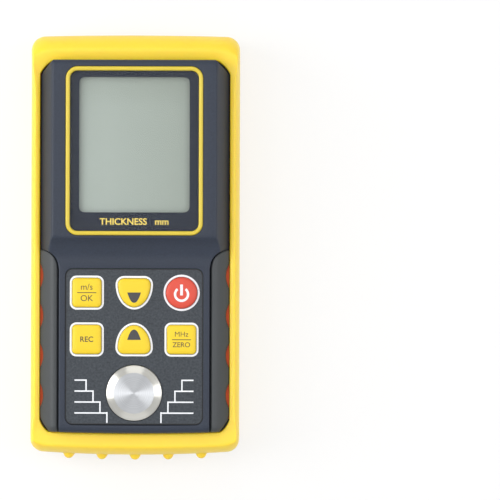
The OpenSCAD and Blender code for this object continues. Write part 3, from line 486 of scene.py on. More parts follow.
def loop(a, low, top, cut_low, cut_top, bend_low=2.0, bend_top=2.0):
    """Closed plan curve with straight sides at a from the middle.

    A corner is the curve (x/cx)^n + (y/cy)^n = 1: a bend n of 2 is a quarter of an ellipse, and one
    near 1 is almost a straight cut.
    """
    (lx, ly), (tx, ty) = cut_low, cut_top
    ct, st = np.cos(TURN) ** (2 / bend_top), np.sin(TURN) ** (2 / bend_top)
    cl, sl = np.cos(TURN) ** (2 / bend_low), np.sin(TURN) ** (2 / bend_low)
    rise = low + ly + (top - ty - low - ly) * SIDE
    fall = top - ty - (top - ty - low - ly) * SIDE
    x = [np.full_like(SIDE, a), a - tx + tx * ct, (a - tx) * (1 - 2 * END), -(a - tx) - tx * st,
         np.full_like(SIDE, -a), -(a - lx) - lx * cl, -(a - lx) * (1 - 2 * END), a - lx + lx * sl]
    y = [rise, top - ty + ty * st, np.full_like(END, top), top - ty + ty * ct,
         fall, low + ly - ly * sl, np.full_like(END, low), low + ly - ly * cl]
    return plan_of(np.concatenate(x), np.concatenate(y))


def rounded(a, low, top, r):
    """Closed plan curve with four round corners of one radius."""
    return loop(a, low, top, (r, r), (r, r))


def chain(points, rounds, steps=6):
    """Section rows through corner curves, closed.

    A corner with a rounding is replaced by the quadratic curve that starts that far before it and
    ends that far after it.
    """
    rows, count = [], len(points)
    for k in range(count):
        here, before, after = points[k], points[k - 1], points[(k + 1) % count]
        if not rounds[k]:
            rows.append(here)
            continue
        reach = []
        for other in (before, after):
            away = other - here
            length = np.maximum(np.linalg.norm(away, axis=1, keepdims=True), 1e-9)
            reach.append(here + away * np.minimum(rounds[k] / length, 0.48))
        for t in np.linspace(0, 1, steps):
            rows.append((1 - t) ** 2 * reach[0] + 2 * t * (1 - t) * here + t * t * reach[1])
    return np.stack(rows)


def low_bow(points):
    """Carries the low end of the face out in a shallow parabola, in plan curves and in grids alike."""
    x, y = points[..., 0], points[..., 1]
    bulge = np.clip(1 - (x / LOW_BOW_HALF) ** 2, 0, 1) * ease((LOW_BOW_FROM - y) / LOW_BOW_RUN)
    return points - np.stack([0 * x, LOW_BOW * bulge] + [0 * x] * (points.shape[-1] - 2), -1)


# Boot

# Outline of the boot, and the height of the middle of both end walls
BOOT_HALF, BOOT_LOW, BOOT_TOP = 37.7, -75.0, 75.6
END_Z = 12.5

# Bow of its two ends: depth of each, half width, where it starts and how fast it grows
BOW_LOW, BOW_TOP, BOW_HALF, BOW_FROM, BOW_RUN = 1.0, 0.4, 33.0, 55.0, 15.0

# Heights of the lip and the ridge, the roll outside the ridge, and the half width at the ridge
LIP_Z, RIDGE_Z, ROLL_R, RIDGE_HALF = 26.9, 27.5, 10.6, 37.0

# Rounding of the back edge and thickness of the back
BACK_R, BACK_T = 3.0, 2.0

# Ribs on the low end: spacing, radius, half length of the straight part, foot and its fillet
RIB_STEP, RIB_R, RIB_HALF, RIB_FOOT, RIB_FILLET = 12.0, 1.92, 6.5, 2.3, 0.35

# Socket slot: half length of its straight part, half width and height of its ends, then its flare,
# which is how much it grows at each place along Y
SLOT_HALF, SLOT_END, SLOT_RISE = 13.9, 6.1, 6.2
SLOT_FLARE = ((69.0, 0.0), (74.6, 0.0), (75.2, 0.1), (75.6, 0.32), (75.9, 0.7), (77.5, 2.4))


def bowed(plan, low, top):
    """Pushes the ends of a plan curve out by a parabola, low at the keypad end and top at the other."""
    x, y = plan.T
    bulge = 1 - np.clip(np.abs(x) / BOW_HALF, 0, 1) ** 2
    push = top * ease((y - BOW_FROM) / BOW_RUN) - low * ease((-y - BOW_FROM) / BOW_RUN)
    return plan_of(x, y + bulge * push)


def boot_rows():
    """Boot as a closed section carried round the plan.

    It runs from the lip up to the ridge, over the roll, which is an arc that starts upright, down the
    wall, round the back edge to the back window, and inside up to the lip again. The ridge lies 1 mm
    further in along the sides and comes out again near the corners.
    """
    outer = bowed(loop(BOOT_HALF, BOOT_LOW, BOOT_TOP, (4.8, 4.8), (5.0, 5.0)), BOW_LOW, BOW_TOP)
    x, y = loop(RIDGE_HALF, -72.2, 70.2, (7.0, 2.6), (9.0, 3.2)).T
    pull = 1.0 - 0.85 * np.exp(-((y - 66.0) / 5.5) ** 2) - 0.7 * np.exp(-((y + 68.5) / 5.0) ** 2)
    ridge = bowed(plan_of(np.sign(x) * np.minimum(np.abs(x), RIDGE_HALF - pull), y), 0.8, 0.2)
    lip = loop(RAISED + SEAT_GAP, FACE_LOW - SEAT_GAP, FACE_TOP + SEAT_GAP, LOW_CUT, TOP_CUT, 1.35, 1.3)
    lip = low_bow(lip)
    room = rounded(35.3, -71.5, 71.5, 3.5)
    window = rounded(32.0, -65.0, 65.0, 6.0)
    inward = ridge - outer
    depth = np.linalg.norm(inward, axis=1)
    inward = inward / depth[:, None]
    reach = np.arccos(1 - depth / ROLL_R)
    start = RIDGE_Z - ROLL_R * np.sin(reach)
    points, rounds = [lift(lip, LIP_Z), lift(ridge, RIDGE_Z)], [0.55, 1.0]
    for share in np.linspace(0.9, 0.0, 12):
        turn = reach * share
        plan = outer + inward * (ROLL_R * (1 - np.cos(turn)))[:, None]
        points.append(lift(plan, start + ROLL_R * np.sin(turn)))
        rounds.append(0)
    to_window = window - outer
    to_window = to_window / np.linalg.norm(to_window, axis=1, keepdims=True)
    for turn in np.linspace(0, QUARTER, 8):
        plan = outer + to_window * (BACK_R * (1 - math.cos(turn)))
        points.append(lift(plan, BACK_R - BACK_R * math.sin(turn)))
        rounds.append(0)
    points += [lift(window, 0.0), lift(window, BACK_T), lift(room, BACK_T),
               lift(room, SHOULDER), lift(lip, SHOULDER)]
    rounds += [0.5, 0.3, 0, 0, 0]
    return chain(points, rounds)


def rib(x, wall):
    """Half-round rib: height over the wall is a circle's of the distance to the rib's own line.

    The rows run from inside the wall over a small fillet at the foot to the crest line.
    """
    around = turn_round(48)
    turn = np.linspace(0, QUARTER, 9)
    bend = np.linspace(0, QUARTER, 5)[1:]
    away = [[RIB_FOOT, RIB_FOOT], RIB_FOOT - RIB_FILLET * np.sin(bend), RIB_R * np.cos(turn), [0.0]]
    height = [[-1.0, 0.0], RIB_FILLET * (1 - np.cos(bend)),
              np.maximum(RIB_R * np.sin(turn), RIB_FILLET), [RIB_R]]
    line_z = END_Z + np.sign(np.sin(around)) * RIB_HALF
    return np.stack([points_of(x + a * np.cos(around), wall - h, line_z + a * np.sin(around))
                     for a, h in zip(np.concatenate(away), np.concatenate(height))])


def cut_by(obj, grid):
    """Takes a closed tube of points out of a piece."""
    cutter = piece(obj.name + "_cutter", [(grid, True, False)], "boot_rubber")
    trim = bmesh.new()
    trim.from_mesh(cutter.data)
    bmesh.ops.holes_fill(trim, edges=trim.edges)
    bmesh.ops.recalc_face_normals(trim, faces=trim.faces)
    trim.to_mesh(cutter.data)
    trim.free()
    knife = obj.modifiers.new("cut", "BOOLEAN")
    knife.operation, knife.solver, knife.object = "DIFFERENCE", "EXACT", cutter
    made = bpy.data.meshes.new_from_object(obj.evaluated_get(bpy.context.evaluated_depsgraph_get()))
    obj.modifiers.clear()
    obj.data = made
    bpy.data.objects.remove(cutter)
    smooth(obj, CREASE)


def slot_tube():
    """Stadium tube along Y through the end wall, flared at the outer face, which rounds the slot's edge."""
    around = turn_round(64)
    middle_x = np.sign(np.cos(around)) * SLOT_HALF
    return np.stack([points_of(middle_x + (SLOT_END + grow) * np.cos(around), y,
                               END_Z + (SLOT_RISE + grow) * np.sin(around)) for y, grow in SLOT_FLARE])


boot = piece("boot_shell", [(boot_rows(), True, True)], "boot_rubber", ["boot"])
cut_by(boot, slot_tube())
for number in range(-2, 3):
    x = number * RIB_STEP
    wall = BOOT_LOW - BOW_LOW + BOW_LOW * (x / BOW_HALF) ** 2
    piece("boot_rib_%d" % (number + 3), [(rib(x, wall), True, False)], "boot_rubber")


# Front of the case

def face_height(x, y):
    """Height of the face: the lower of the plateau's side bevels and the lengthwise profile.

    The profile is the keypad level, the cove and the plateau, with rounded ends. The edge beside the
    grips drops.
    """
    bevel = PLATEAU - BEVEL_FALL * (np.abs(x) - BEVEL_AT)
    cove = FACE + COVE_R - np.sqrt(COVE_R ** 2 - np.clip(y - COVE_LOW, 0, 12.3) ** 2)
    along = lesser(PLATEAU, cove, 0.35)
    along = along - edge_drop(FACE_TOP - y, TOP_ROUND) - edge_drop(y - FACE_LOW, LOW_ROUND)
    from_seat = np.hypot(np.abs(x) - RAISED, y - SEAT_Y) - SEAT_R
    beside = np.where(y < SEAT_Y, STRIP - np.abs(x), from_seat)
    return lesser(bevel, along, 0.5) - edge_drop(beside, 0.45)


def face_points(x, y):
    """Points of the face over a plan."""
    return points_of(x, y, face_height(*np.broadcast_arrays(x, y)))


# Grid lines of the face. Each corner of a recess takes HALF_TURN steps from each of its two sides
HALF_TURN, SIDE_STEPS = 8, 40
INSETS = (0.45, 0.3, 0.15, 0.06, 0.0)
COLUMNS = stretches((-STRIP, -22, HALF_TURN), (-22, 22, 24), (22, STRIP, HALF_TURN))
WINDOW_ROWS = stretches((COVE_TOP, 8.0, HALF_TURN), (8.0, 59.8, SIDE_STEPS),
                        (59.8, FACE_TOP - TOP_BAND, HALF_TURN))
STRIP_ROWS = stretches((FACE_LOW + LOW_BAND, -61.6, HALF_TURN), (-61.6, SEAT_Y, SIDE_STEPS))
SEAT_ROWS = SEAT_Y + (COVE_LOW - SEAT_Y) * np.linspace(0, 1, HALF_TURN + 1) ** 1.8
FILM_ROWS = np.concatenate([STRIP_ROWS[:-1], SEAT_ROWS])
COVE_ROWS = COVE_LOW + stretches((0, 7.2, 13), (7.2, COVE_RUN, 6))
BESIDE = stretches((STRIP, 28.8, 4), (28.8, 31.2, 12), (31.2, RAISED, 7))


def joined(right, upper, left, lower):
    """Closed curve from four sides that are each written to the right or upwards."""
    return np.concatenate([right[:-1], upper[::-1][:-1], left[::-1][:-1], lower[:-1]])


def ring(half, low, top, r, grow, xs, ys):
    """Rounded outline that is larger by grow, with as many points on each side as the rectangle of xs, ys.

    Half of each corner arc belongs to each of the two sides that it joins.
    """
    half, low, top, r = half + grow, low - grow, top + grow, r + grow
    after = np.linspace(0, math.pi / 4, HALF_TURN + 1)
    before = -math.pi / 4 + after[:-1]

    def side(reach_low, reach_top, count):
        line = np.linspace(reach_low + r, reach_top - r, count - 2 * HALF_TURN)
        out = [np.cos(before) * r - r, np.zeros(len(line)), np.cos(after[1:]) * r - r]
        along = [reach_low + r + np.sin(before) * r, line, reach_top - r + np.sin(after[1:]) * r]
        return np.concatenate(out), np.concatenate(along)

    off_y, y = side(low, top, len(ys))
    off_x, x = side(-half, half, len(xs))
    return joined(plan_of(half + off_y, y), plan_of(x, top + off_x),
                  plan_of(-half - off_y, y), plan_of(x, low - off_x))


def frame_of(xs, ys, inset):
    """Rectangle of the grid lines xs and ys, drawn in by an inset."""
    x = xs * (xs[-1] - inset) / xs[-1]
    y = ys[0] + inset + (ys - ys[0]) * (ys[-1] - ys[0] - 2 * inset) / (ys[-1] - ys[0])
    return joined(plan_of(x[-1], y), plan_of(x, y[-1]), plan_of(-x[-1], y), plan_of(x, y[0]))


def recess_ring(piece_in, r, xs, ys, edge=0.15):
    """Wall of the recess round a piece, its rounded edge and the face round it."""
    (_, low, floor), (half, top, _) = piece_in
    half, low, top, r = half + SEAT_GAP, low - SEAT_GAP, top + SEAT_GAP, r + SEAT_GAP
    rows = [lift(ring(half, low, top, r, 0.0, xs, ys), floor)]
    for turn in np.linspace(0, QUARTER, 5):
        plan = ring(half, low, top, r, edge * (1 - math.cos(turn)), xs, ys)
        rows.append(lift(plan, face_height(*plan.T) - edge * (1 - math.sin(turn))))
    for inset in INSETS:
        plan = frame_of(xs, ys, inset)
        rows.append(lift(plan, face_height(*plan.T)))
    return np.stack(rows)


def skirt(edge):
    """Upright wall from an edge down to the shoulder."""
    return np.stack([edge, dropped(edge, SHOULDER)])


def case_grids():
    """The face in patches that share their edges.

    They are two recess rings, the cove between them, both ends, and at each side the bevel with the
    seat of the grip, whose lower edge is a quarter circle.
    """
    plateau = recess_ring(FRAME, FRAME_R, COLUMNS, WINDOW_ROWS)
    keypad = recess_ring(FILM, FILM_R, COLUMNS, FILM_ROWS)
    cove = face_points(COLUMNS[None, :], COVE_ROWS[:, None])
    turn = np.linspace(math.asin(1 - TOP_BAND / TOP_ROUND), QUARTER, 9)
    top_rows = FACE_TOP - TOP_ROUND + TOP_ROUND * np.sin(turn)
    top = face_points(COLUMNS[None, :], top_rows[:, None])
    turn = np.linspace(math.asin(1 - LOW_BAND / LOW_ROUND), QUARTER, 10)
    low_rows = FACE_LOW + LOW_ROUND - LOW_ROUND * np.sin(turn)
    low = face_points(COLUMNS[None, :], low_rows[:, None])
    grids = [(plateau, True, False), (keypad, True, False)]
    grids += [(grid, False, False) for grid in (cove, top, low, skirt(top[-1]), skirt(low[-1]))]

    rows = np.concatenate([SEAT_ROWS[:-1], COVE_ROWS[:-1], WINDOW_ROWS[:-1], top_rows])
    seat = SEAT_Y + np.sqrt(np.maximum(SEAT_R ** 2 - (BESIDE - RAISED) ** 2, 0))
    share = np.clip((COVE_TOP - rows) / (COVE_TOP - SEAT_Y), 0, 1)[:, None]
    y = np.where(rows[:, None] < COVE_TOP, COVE_TOP - share * (COVE_TOP - seat[None, :]), rows[:, None])
    reach = RAISED - TOP_CUT[0] / TOP_CUT[1] * hinge(y - FACE_TOP + TOP_CUT[1], 0.8)
    x = STRIP + (BESIDE[None, :] - STRIP) * (reach - STRIP) / (RAISED - STRIP)
    wing = face_points(x, y)
    strip_edge = face_points(STRIP, STRIP_ROWS)
    walls = [skirt(edge) for edge in (wing[0], wing[:, -1], wing[-1], strip_edge, low[:, -1])]
    for grid in [wing, *walls]:
        grids += [(grid, False, False), (mirrored(grid), False, False)]
    return [(low_bow(grid), around, closed) for grid, around, closed in grids]


def shoulder_rows():
    """Shoulder of the front half: a closed section carried round the case under the lip of the boot."""
    outer = rounded(35.2, -71.4, 71.4, 3.4)
    inner = rounded(33.2, -69.4, 69.4, 2.0)
    deep = rounded(26.0, -64.0, 63.0, 2.0)
    foot, step = 19.5, 22.0
    return chain([lift(outer, SHOULDER), lift(outer, foot), lift(inner, foot), lift(inner, step),
                  lift(deep, step), lift(deep, SHOULDER)], [0.3, 0, 0, 0, 0, 0], 4)


case = piece("front_case_shell", case_grids(), "case_plastic", ["front_case"],
             crease=50, weld=0.02, outward=(0, 0, 1))
thicken = case.modifiers.new("wall", "SOLIDIFY")
thicken.thickness, thicken.offset = 1.2 * MM, -1.0
piece("front_case_shoulder", [(shoulder_rows(), True, True)], "case_plastic")


# Grips

# Inner side, reach and rise of the quarter-round upper end, and length of the rounded low end
GRIP_IN, GRIP_REACH, GRIP_RISE, GRIP_END = 27.3, 6.8, 6.9, 2.4

# Scallops: number, middle of the upper one, spacing, width and depth
SCALLOPS, SCALLOP_Y, SCALLOP_STEP, SCALLOP_W, SCALLOP_D = 4, -11.2, 14.35, 8.7, 1.2


def grip_grid():
    """Grip as closed sections across it, with a crest near the groove and a slope of about 45 degrees.

    The outline has round scallops, a quarter-round upper end and a cut lower corner.
    """
    y = np.concatenate([FACE_LOW + GRIP_END * (1 - np.cos(np.linspace(0, QUARTER, 12)))[:-1],
                        np.linspace(FACE_LOW + GRIP_END, SEAT_Y, 190)[:-1],
                        SEAT_Y + GRIP_RISE * np.sin(np.linspace(0, QUARTER, 26))])
    scallop_r = (SCALLOP_W ** 2 / 4 + SCALLOP_D ** 2) / (2 * SCALLOP_D)
    outer = RAISED - LOW_CUT[0] / LOW_CUT[1] * hinge(FACE_LOW + LOW_CUT[1] - y, 0.9)
    for number in range(SCALLOPS):
        away = y - SCALLOP_Y + SCALLOP_STEP * number
        bite = np.sqrt(np.maximum(scallop_r ** 2 - away ** 2, 0)) - scallop_r + SCALLOP_D
        outer = lesser(outer, RAISED - bite, 0.12) + 0.004
    upper = (y - SEAT_Y) * GRIP_REACH / GRIP_RISE
    upper = RAISED - np.sqrt(np.maximum(GRIP_REACH ** 2 - upper ** 2, 0))
    inner = np.where(y < SEAT_Y, GRIP_IN, upper)
    outer = np.maximum(np.minimum(outer, RAISED - 0.02), inner)
    share = (1 - np.cos(np.linspace(0, math.pi, 34))) / 2
    x = inner[:, None] + share[None, :] * (outer - inner)[:, None]
    y = y[:, None]
    crest = 31.6 - 0.22 * np.clip(29.2 - x, 0, None) ** 2 - 1.02 * hinge(x - 29.5, 0.9)
    from_groove = np.where(y < SEAT_Y, x - GRIP_IN, GRIP_REACH - np.hypot(x - RAISED, y - SEAT_Y))
    z = crest - edge_drop(from_groove, 0.7) - edge_drop(outer[:, None] - x, 0.6)
    z = z - edge_drop(y - FACE_LOW, LOW_ROUND)
    body = points_of(x, y, np.maximum(z, SHOULDER + 0.4))
    sections = np.concatenate([dropped(body[:, :1], SHOULDER), body, dropped(body[:, -1:], SHOULDER)], 1)
    return low_bow(np.concatenate([dropped(sections[:1], SHOULDER), sections]))


piece("right_grip_pad", [(grip_grid(), True, False)], "grip_rubber", ["right_grip"])
piece("left_grip_pad", [(mirrored(grip_grid()), True, False)], "grip_rubber", ["left_grip"])


# Window

# Half width and rise of the bead
BEAD_HALF, BEAD_RISE = 0.75, 0.55


def bead_rows():
    """Window frame: a half-round bead carried round a rounded rectangle."""
    (_, low, foot), (half, top, crown) = FRAME

    def at(inset):
        return rounded(half - inset, low + inset, top - inset, FRAME_R - inset)

    rows = [lift(at(0.0), foot)]
    for t in np.linspace(0, math.pi, 11):
        rows.append(lift(at(BEAD_HALF * (1 - math.cos(t))), crown + BEAD_RISE * (math.sin(t) - 1)))
    rows.append(lift(at(2 * BEAD_HALF), foot))
    return np.stack(rows)


piece("window_bead", [(bead_rows(), True, True)], "frame_plastic", ["window_frame"])


# Keys

KEY_AT = {"key_select": (-17, -17.2), "key_down": (0, -17.2), "key_power": (17, -17.2),
          "key_memory": (-17, -34.0), "key_up": (0, -34.0), "key_zero": (17, -34.0)}

# Heights of a key: its foot, the top of its upright wall and its crown, then the fall of the pillow
KEY_FOOT, KEY_WALL, KEY_TOP, KEY_PILLOW = 28.2, 31.8, 32.9, 1.0

# Plans of the keys: the round one, the square ones and the shields, whose belly starts at SHIELD_Y
KEY_R = 5.6
SQUARE_HALF, SQUARE_R = 5.2, 1.5
SHIELD_HALF, SHIELD_R, SHIELD_DEPTH, SHIELD_Y = 5.8, 2.1, 8.1, 3.0


def key_plan(name):
    """Plan of a key round its own middle: a rounded square, a circle or a shield.

    A shield is a straight edge with round corners over half an ellipse.
    """
    if name == "key_power":
        t = turn_round(96)
        return KEY_R * plan_of(np.cos(t), np.sin(t))
    quarter = np.linspace(0, QUARTER, 14, endpoint=False)
    if name in ("key_down", "key_up"):
        flat = SHIELD_HALF - SHIELD_R
        line = np.linspace(0, 1, 12, endpoint=False)
        belly = np.linspace(math.pi, 2 * math.pi, 70, endpoint=False)
        x = [flat + SHIELD_R * np.cos(quarter), flat - 2 * flat * line,
             -flat - SHIELD_R * np.sin(quarter), SHIELD_HALF * np.cos(belly)]
        y = [SHIELD_R * np.sin(quarter), np.full_like(line, SHIELD_R),
             SHIELD_R * np.cos(quarter), SHIELD_DEPTH * np.sin(belly)]
        plan = plan_of(np.concatenate(x), np.concatenate(y) + SHIELD_Y)
        return plan if name == "key_down" else plan * [1, -1]
    flat = SQUARE_HALF - SQUARE_R
    line = np.linspace(-1, 1, 14, endpoint=False) * flat
    side = plan_of(np.concatenate([np.full_like(line, SQUARE_HALF), flat + SQUARE_R * np.cos(quarter)]),
                   np.concatenate([line, flat + SQUARE_R * np.sin(quarter)]))
    return np.concatenate([side, side[:, ::-1] * [-1, 1], -side, side[:, ::-1] * [1, -1]])


def key_rows(name):
    """Key as a pillow over its plan.

    Height is the square root of 1 minus the eighth power of the share of the way out, so the top is
    nearly flat and the rim upright.
    """
    plan = key_plan(name) * 1.01
    rows = [lift(plan * 0.02, KEY_FOOT), lift(plan, KEY_FOOT), lift(plan, KEY_WALL)]
    for share in np.cos(np.linspace(0, QUARTER, 16))[:-1]:
        rows.append(lift(plan * share, KEY_TOP + KEY_PILLOW * (math.sqrt(1 - share ** 8) - 1)))
    rows.append(lift(plan * 0.001, KEY_TOP))
    return np.stack(rows) + [*KEY_AT[name], 0]


for name in KEY_AT:
    colour = "key_red" if name == "key_power" else "key_yellow"
    piece(name + "_cap", [(key_rows(name), True, False)], colour, [name], body=name)


# Rubber domes under the keys

# Heights of the sheet and the domes, and the bevel of the sheet's rim
DOMES = extent("dome_mat")
SHEET_LOW, DOME_TOP = DOMES[0][2], DOMES[1][2]
SHEET_TOP, DOME_ROOF = SHEET_LOW + 0.8, SHEET_LOW + 2.0
SHEET_EDGE = 0.15

# Radius at which a turned profile closes on its axis
POLE = 0.001

# A dome from its pad down to its foot, then inside up to its roof, and the hole in the sheet under it
DOME_PROFILE = ((POLE, DOME_TOP), (2.8, DOME_TOP), (2.96, DOME_TOP - 0.05), (3.06, DOME_TOP - 0.2),
                (4.1, SHEET_TOP + 0.3), (4.24, SHEET_TOP + 0.08), (4.5, SHEET_TOP), (3.1, SHEET_TOP),
                (2.4, DOME_ROOF), (POLE, DOME_ROOF))
HOLE_PROFILE = ((3.9, SHEET_LOW - 0.5), (2.8, SHEET_TOP + 0.5))


def dome_sheet():
    """Sheet as a closed section carried round its outline, with a tapered hole under each key."""
    (_, low, _), (half, top, _) = DOMES

    def at(inset, z):
        return lift(rounded(half - inset, low + inset, top - inset, 2.0), z)

    middle = half - 0.2
    rows = [at(middle, SHEET_LOW), at(SHEET_EDGE, SHEET_LOW), at(0.0, SHEET_LOW + SHEET_EDGE),
            at(0.0, SHEET_TOP - SHEET_EDGE), at(SHEET_EDGE, SHEET_TOP), at(middle, SHEET_TOP)]
    sheet = piece("dome_sheet", [(np.stack(rows), True, False)], "dome_rubber", ["dome_mat"])
    for x, y in KEY_AT.values():
        cut_by(sheet, turned(HOLE_PROFILE, x, y, 48))


dome_sheet()
for name, (x, y) in KEY_AT.items():
    dome = piece("dome_" + name[4:], [(turned(DOME_PROFILE, x, y, 48), True, False)], "dome_rubber")
    SHEET_TOP * MM
    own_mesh(dome)


# Calibration disc

# The flat, a small round, the bevel, its rounded rim and the wall
DISC_PROFILE = ((POLE, 33.5), (2, 33.5), (4, 33.5), (6, 33.5), (7.1, 33.5), (7.25, 33.48), (7.36, 33.43),
                (7.48, 33.34), (8.5, 32.78), (9.7, 32.12), (9.88, 32.0), (9.97, 31.85), (10, 31.6),
                (10, 29.5), (POLE, 29.5))
piece("calibration_disc_turned", [(turned(DISC_PROFILE, 0, DISC_Y, 144), True, False)], "disc_steel",
      ["calibration_disc"], crease=20)


# Signs and legends

# Thickness of the print
SIGN_T = 0.02


def lettering(name, words, size, x, y, z, finish, body, bold=0.0):
    """Flat generic lettering, as a thin raised mesh."""
    curve = bpy.data.curves.new(name, "FONT")
    curve.body = words
    curve.size, curve.extrude, curve.offset = size * MM, SIGN_T / 2 * MM, bold * MM
    curve.align_x, curve.align_y, curve.resolution_u = "CENTER", "CENTER", 4
    holder = bpy.data.objects.new(name + "_text", curve)
    bpy.context.scene.collection.objects.link(holder)
    bpy.context.view_layer.update()
    mesh = bpy.data.meshes.new_from_object(holder.evaluated_get(bpy.context.evaluated_depsgraph_get()))
    bpy.data.objects.remove(holder)
    mesh.transform(Matrix.Translation(Vector((x, y + MOVE, z)) * MM))
    obj = bpy.data.objects.new(name, mesh)
    bpy.context.scene.collection.objects.link(obj)
    return dress(obj, finish, body=body)


def flat_sign(name, inner, outer, z, finish, body, around=False):
    """Thin raised sign between two plan curves with matching points."""
    rows = [lift(inner, z), lift(inner, z + SIGN_T), lift(outer, z + SIGN_T), lift(outer, z)]
    return piece(name, [(np.stack(rows), around, True)], finish, body=body)


def arrow(key, turn):
    """Bowed triangle: a straight edge and two convex sides that meet in a soft point."""
    x, y = KEY_AT[key]
    t = np.linspace(-1, 1, 41)
    edge = plan_of(2.45 * t, 0.35)
    point = plan_of(2.45 * t, 0.35 - 3.7 * (1 - np.abs(t) ** 2.2))
    shift = [x, y - turn * 0.25]
    flat_sign(key + "_arrow", edge * [1, turn] + shift, point * [1, turn] + shift, KEY_TOP, SIGN, key)


def power_sign():
    """Broken ring with a bar in its gap."""
    key = "key_power"
    x, y = KEY_AT[key]
    t = np.linspace(math.radians(128), math.radians(412), 64)
    ring_in, ring_out = [plan_of(x + r * np.cos(t), y - 0.5 + r * np.sin(t)) for r in (1.9, 2.75)]
    flat_sign("key_power_ring", ring_in, ring_out, KEY_TOP, "print_white", key)
    rise, half = np.linspace(-0.9, 3.0, 9), 0.48
    flat_sign("key_power_bar", plan_of(x - half, y + rise), plan_of(x + half, y + rise), KEY_TOP,
              "print_white", key)


def legend_line(key):
    """Thin line between two legends."""
    x, y = KEY_AT[key]
    t, half = np.linspace(-3.4, 3.4, 12), 0.14
    flat_sign(key + "_line", plan_of(x + t, y - half), plan_of(x + t, y + half), KEY_TOP, LEGEND, key)


def film_border():
    """Painted shade: a thin dark ring round the keypad film that stands for the shadow in the groove at its
    edge.
    """
    (_, low, _), (half, top, z) = FILM

    def at(inset):
        return rounded(half - inset, low + inset, top - inset, FILM_R - inset)

    flat_sign("film_border", at(0.34), at(0.02), z, GROOVE_SHADE, "gauge", around=True)


# Words, size, height over the key's middle and how much bolder than the font
LEGENDS = (
    ("key_select", "m/s", 3.1, 2.0, 0.01),
    ("key_select", "OK", 3.1, -2.1, 0.01),
    ("key_memory", "REC", 2.7, 0.0, 0.045),
    ("key_zero", "MHz", 2.6, 1.9, 0.0),
    ("key_zero", "ZERO", 2.5, -1.9, 0.02),
)

# Painted groove shade round the keypad film
film_border()
arrow("key_down", 1)
arrow("key_up", -1)
power_sign()
for key, words, size, up, bold in LEGENDS:
    x, y = KEY_AT[key]
    place = "low" if up < 0 else "top"
    lettering("%s_legend_%s" % (key, place), words, size, x, y + up, KEY_TOP, LEGEND, key, bold)
legend_line("key_select")
legend_line("key_zero")
lettering("window_caption", "THICKNESS   mm", 3.3, 0, 8.2, 33.46, CAPTION, "gauge", 0.06)


# Solids that keep their CAD form

SOLIDS = {
    "rear_case": "rear_plastic",
    "battery_door": "rear_plastic",
    "left_side_strip": "strip_rubber",
    "right_side_strip": "strip_rubber",
    "display_window": "window_clear",
    "window_mask": "mask_black",
    "lcd_panel": "lcd_glass",
    "lcd_frame": "holder_plastic",
    "contact_strips": "contact_rubber",
    "keypad_overlay": "film_plastic",
    "panel_print": "print_white",
    "main_board": "board_laminate",
    "controller_chip": "chip_plastic",
    "amplifier_chip": "chip_plastic",
    "pulse_transformer": "ferrite",
    "reservoir_capacitor": "can_aluminium",
    "timing_crystal": "can_aluminium",
    "probe_socket_left": "socket_nickel",
    "probe_socket_right": "socket_nickel",
    "socket_nuts": "socket_nickel",
    "socket_insulators": "insulator_plastic",
    "socket_contacts": "contact_gold",
    "probe_leads": "lead_black",
    "battery_cells": "cell_sleeve",
    "battery_contacts": "contact_steel",
    "battery_leads": "lead_red",
    "case_screws": "screw_steel",
    "board_screws": "screw_steel",
}
for node, finish in SOLIDS.items():
    nodes[node].data.materials.clear()
    nodes[node].data.materials.append(FINISHES[finish])


# Floor, light and camera, in metres

TABLE_HALF, TABLE_Z = 6, -0.0002
AIM = (0, 0, 0.02)

# Camera: height over the middle of the gauge's thickness, width of the picture there, and the sensor's
# width in millimetres
FAR, VIEW_WIDE, SENSOR = 1.2, 0.1818, 36.0


def looked_at(f):
    """One for rays from the camera, in gloss and through clear pieces, zero for rays that light."""
    path = f.tree.nodes.new("ShaderNodeLightPath")
    kinds = ("Is Camera Ray", "Is Glossy Ray", "Is Transmission Ray")
    direct, gloss, through = [Wire(f, path.outputs[kind]) for kind in kinds]
    return direct.math("MAXIMUM", gloss).math("MAXIMUM", through)


def floor_finish():
    """White table: lit as a matte white, and where it is looked at mostly its own even white.

    So the ground of the picture is white and the soft shadow stays.
    """
    f = Finish("table_white")
    seen = looked_at(f)
    white = f.blend(f.noise(f.place(), 0.5), (0.9, 0.9, 0.9), (0.92, 0.92, 0.92))
    matte = f.make("ShaderNodeBsdfDiffuse", Color=white)
    glow = f.make("ShaderNodeEmission", Color=(1, 1, 1, 1), Strength=1.0)
    return f.surface(f.make("ShaderNodeMixShader", None, seen * 0.72, matte, glow))


def stage():
    """The table that the gauge lies on."""
    corners = [(x * TABLE_HALF, y * TABLE_HALF, TABLE_Z) for x, y in ((-1, -1), (1, -1), (1, 1), (-1, 1))]
    mesh = bpy.data.meshes.new("table")
    mesh.from_pydata(corners, [], [(0, 1, 2, 3)])
    table = bpy.data.objects.new("table", mesh)
    bpy.context.scene.collection.objects.link(table)
    mesh.materials.append(floor_finish())


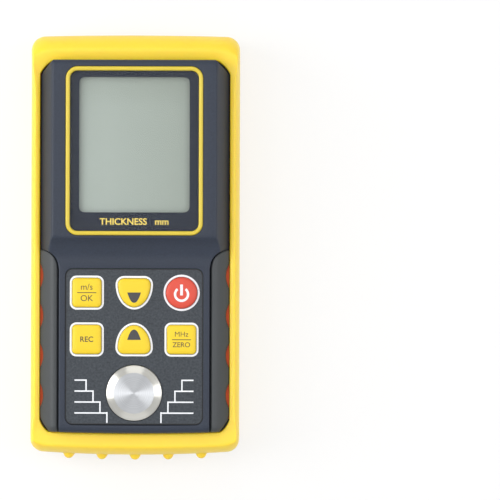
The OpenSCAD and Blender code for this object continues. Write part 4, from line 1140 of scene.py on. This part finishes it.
def sky():
    """Studio sky: white where it is looked at, and as a light a soft grey, brighter towards the sockets."""
    f = Finish("studio", "worlds", "ShaderNodeOutputWorld")
    _, y, _ = f.axes(f.make("ShaderNodeTexCoord", out="Generated"))
    level = f.span(looked_at(f), 0.0, 1.0, f.span(y, -0.8, 0.8, 0.42, 0.58), 1.0)
    bpy.context.scene.world = f.surface(f.make("ShaderNodeBackground", Strength=level))


def lamp(name, at, aim, wide, high, watts):
    """Soft panel that faces a point."""
    light = bpy.data.lights.new(name, "AREA")
    light.shape, light.size, light.size_y, light.energy = "RECTANGLE", wide, high, watts
    obj = bpy.data.objects.new(name, light)
    obj.location = at
    obj.rotation_mode = "QUATERNION"
    obj.rotation_quaternion = (Vector(aim) - Vector(at)).to_track_quat("-Z", "Y")
    bpy.context.scene.collection.objects.link(obj)


def camera():
    """Straight down over the middle of the picture, which lies to the right of the gauge."""
    data = bpy.data.cameras.new("camera")
    data.sensor_width, data.lens = SENSOR, SENSOR * FAR / VIEW_WIDE
    data.clip_start, data.clip_end = 0.05, 20.0
    obj = bpy.data.objects.new("camera", data)
    obj.location = (0.0415, -0.0008, 0.016 + FAR)
    obj.rotation_euler = (0, 0, math.radians(0.15))
    bpy.context.scene.collection.objects.link(obj)
    bpy.context.scene.camera = obj


stage()
sky()
lamp("panel_left", (-0.45, 0.06, 0.28), (0, 0.03, 0.1), 0.46, 0.36, 1.6)
lamp("panel_left_high", (-0.7, 0.1, 1.05), AIM, 0.6, 0.5, 2.6)
lamp("panel_right", (0.8, 0.0, 0.5), AIM, 0.36, 0.5, 1.35)
lamp("panel_right_high", (0.75, 0.0, 1.0), AIM, 0.5, 0.5, 1.7)
lamp("panel_far", (0, 0.85, 0.75), AIM, 0.7, 0.5, 1.5)
lamp("panel_near", (0, -0.8, 0.8), AIM, 0.9, 0.5, 1.1)
lamp("panel_top", (0, 0.15, 1.5), AIM, 1.5, 0.6, 4.6)
camera()
bpy.context.scene.view_settings.view_transform = "Standard"
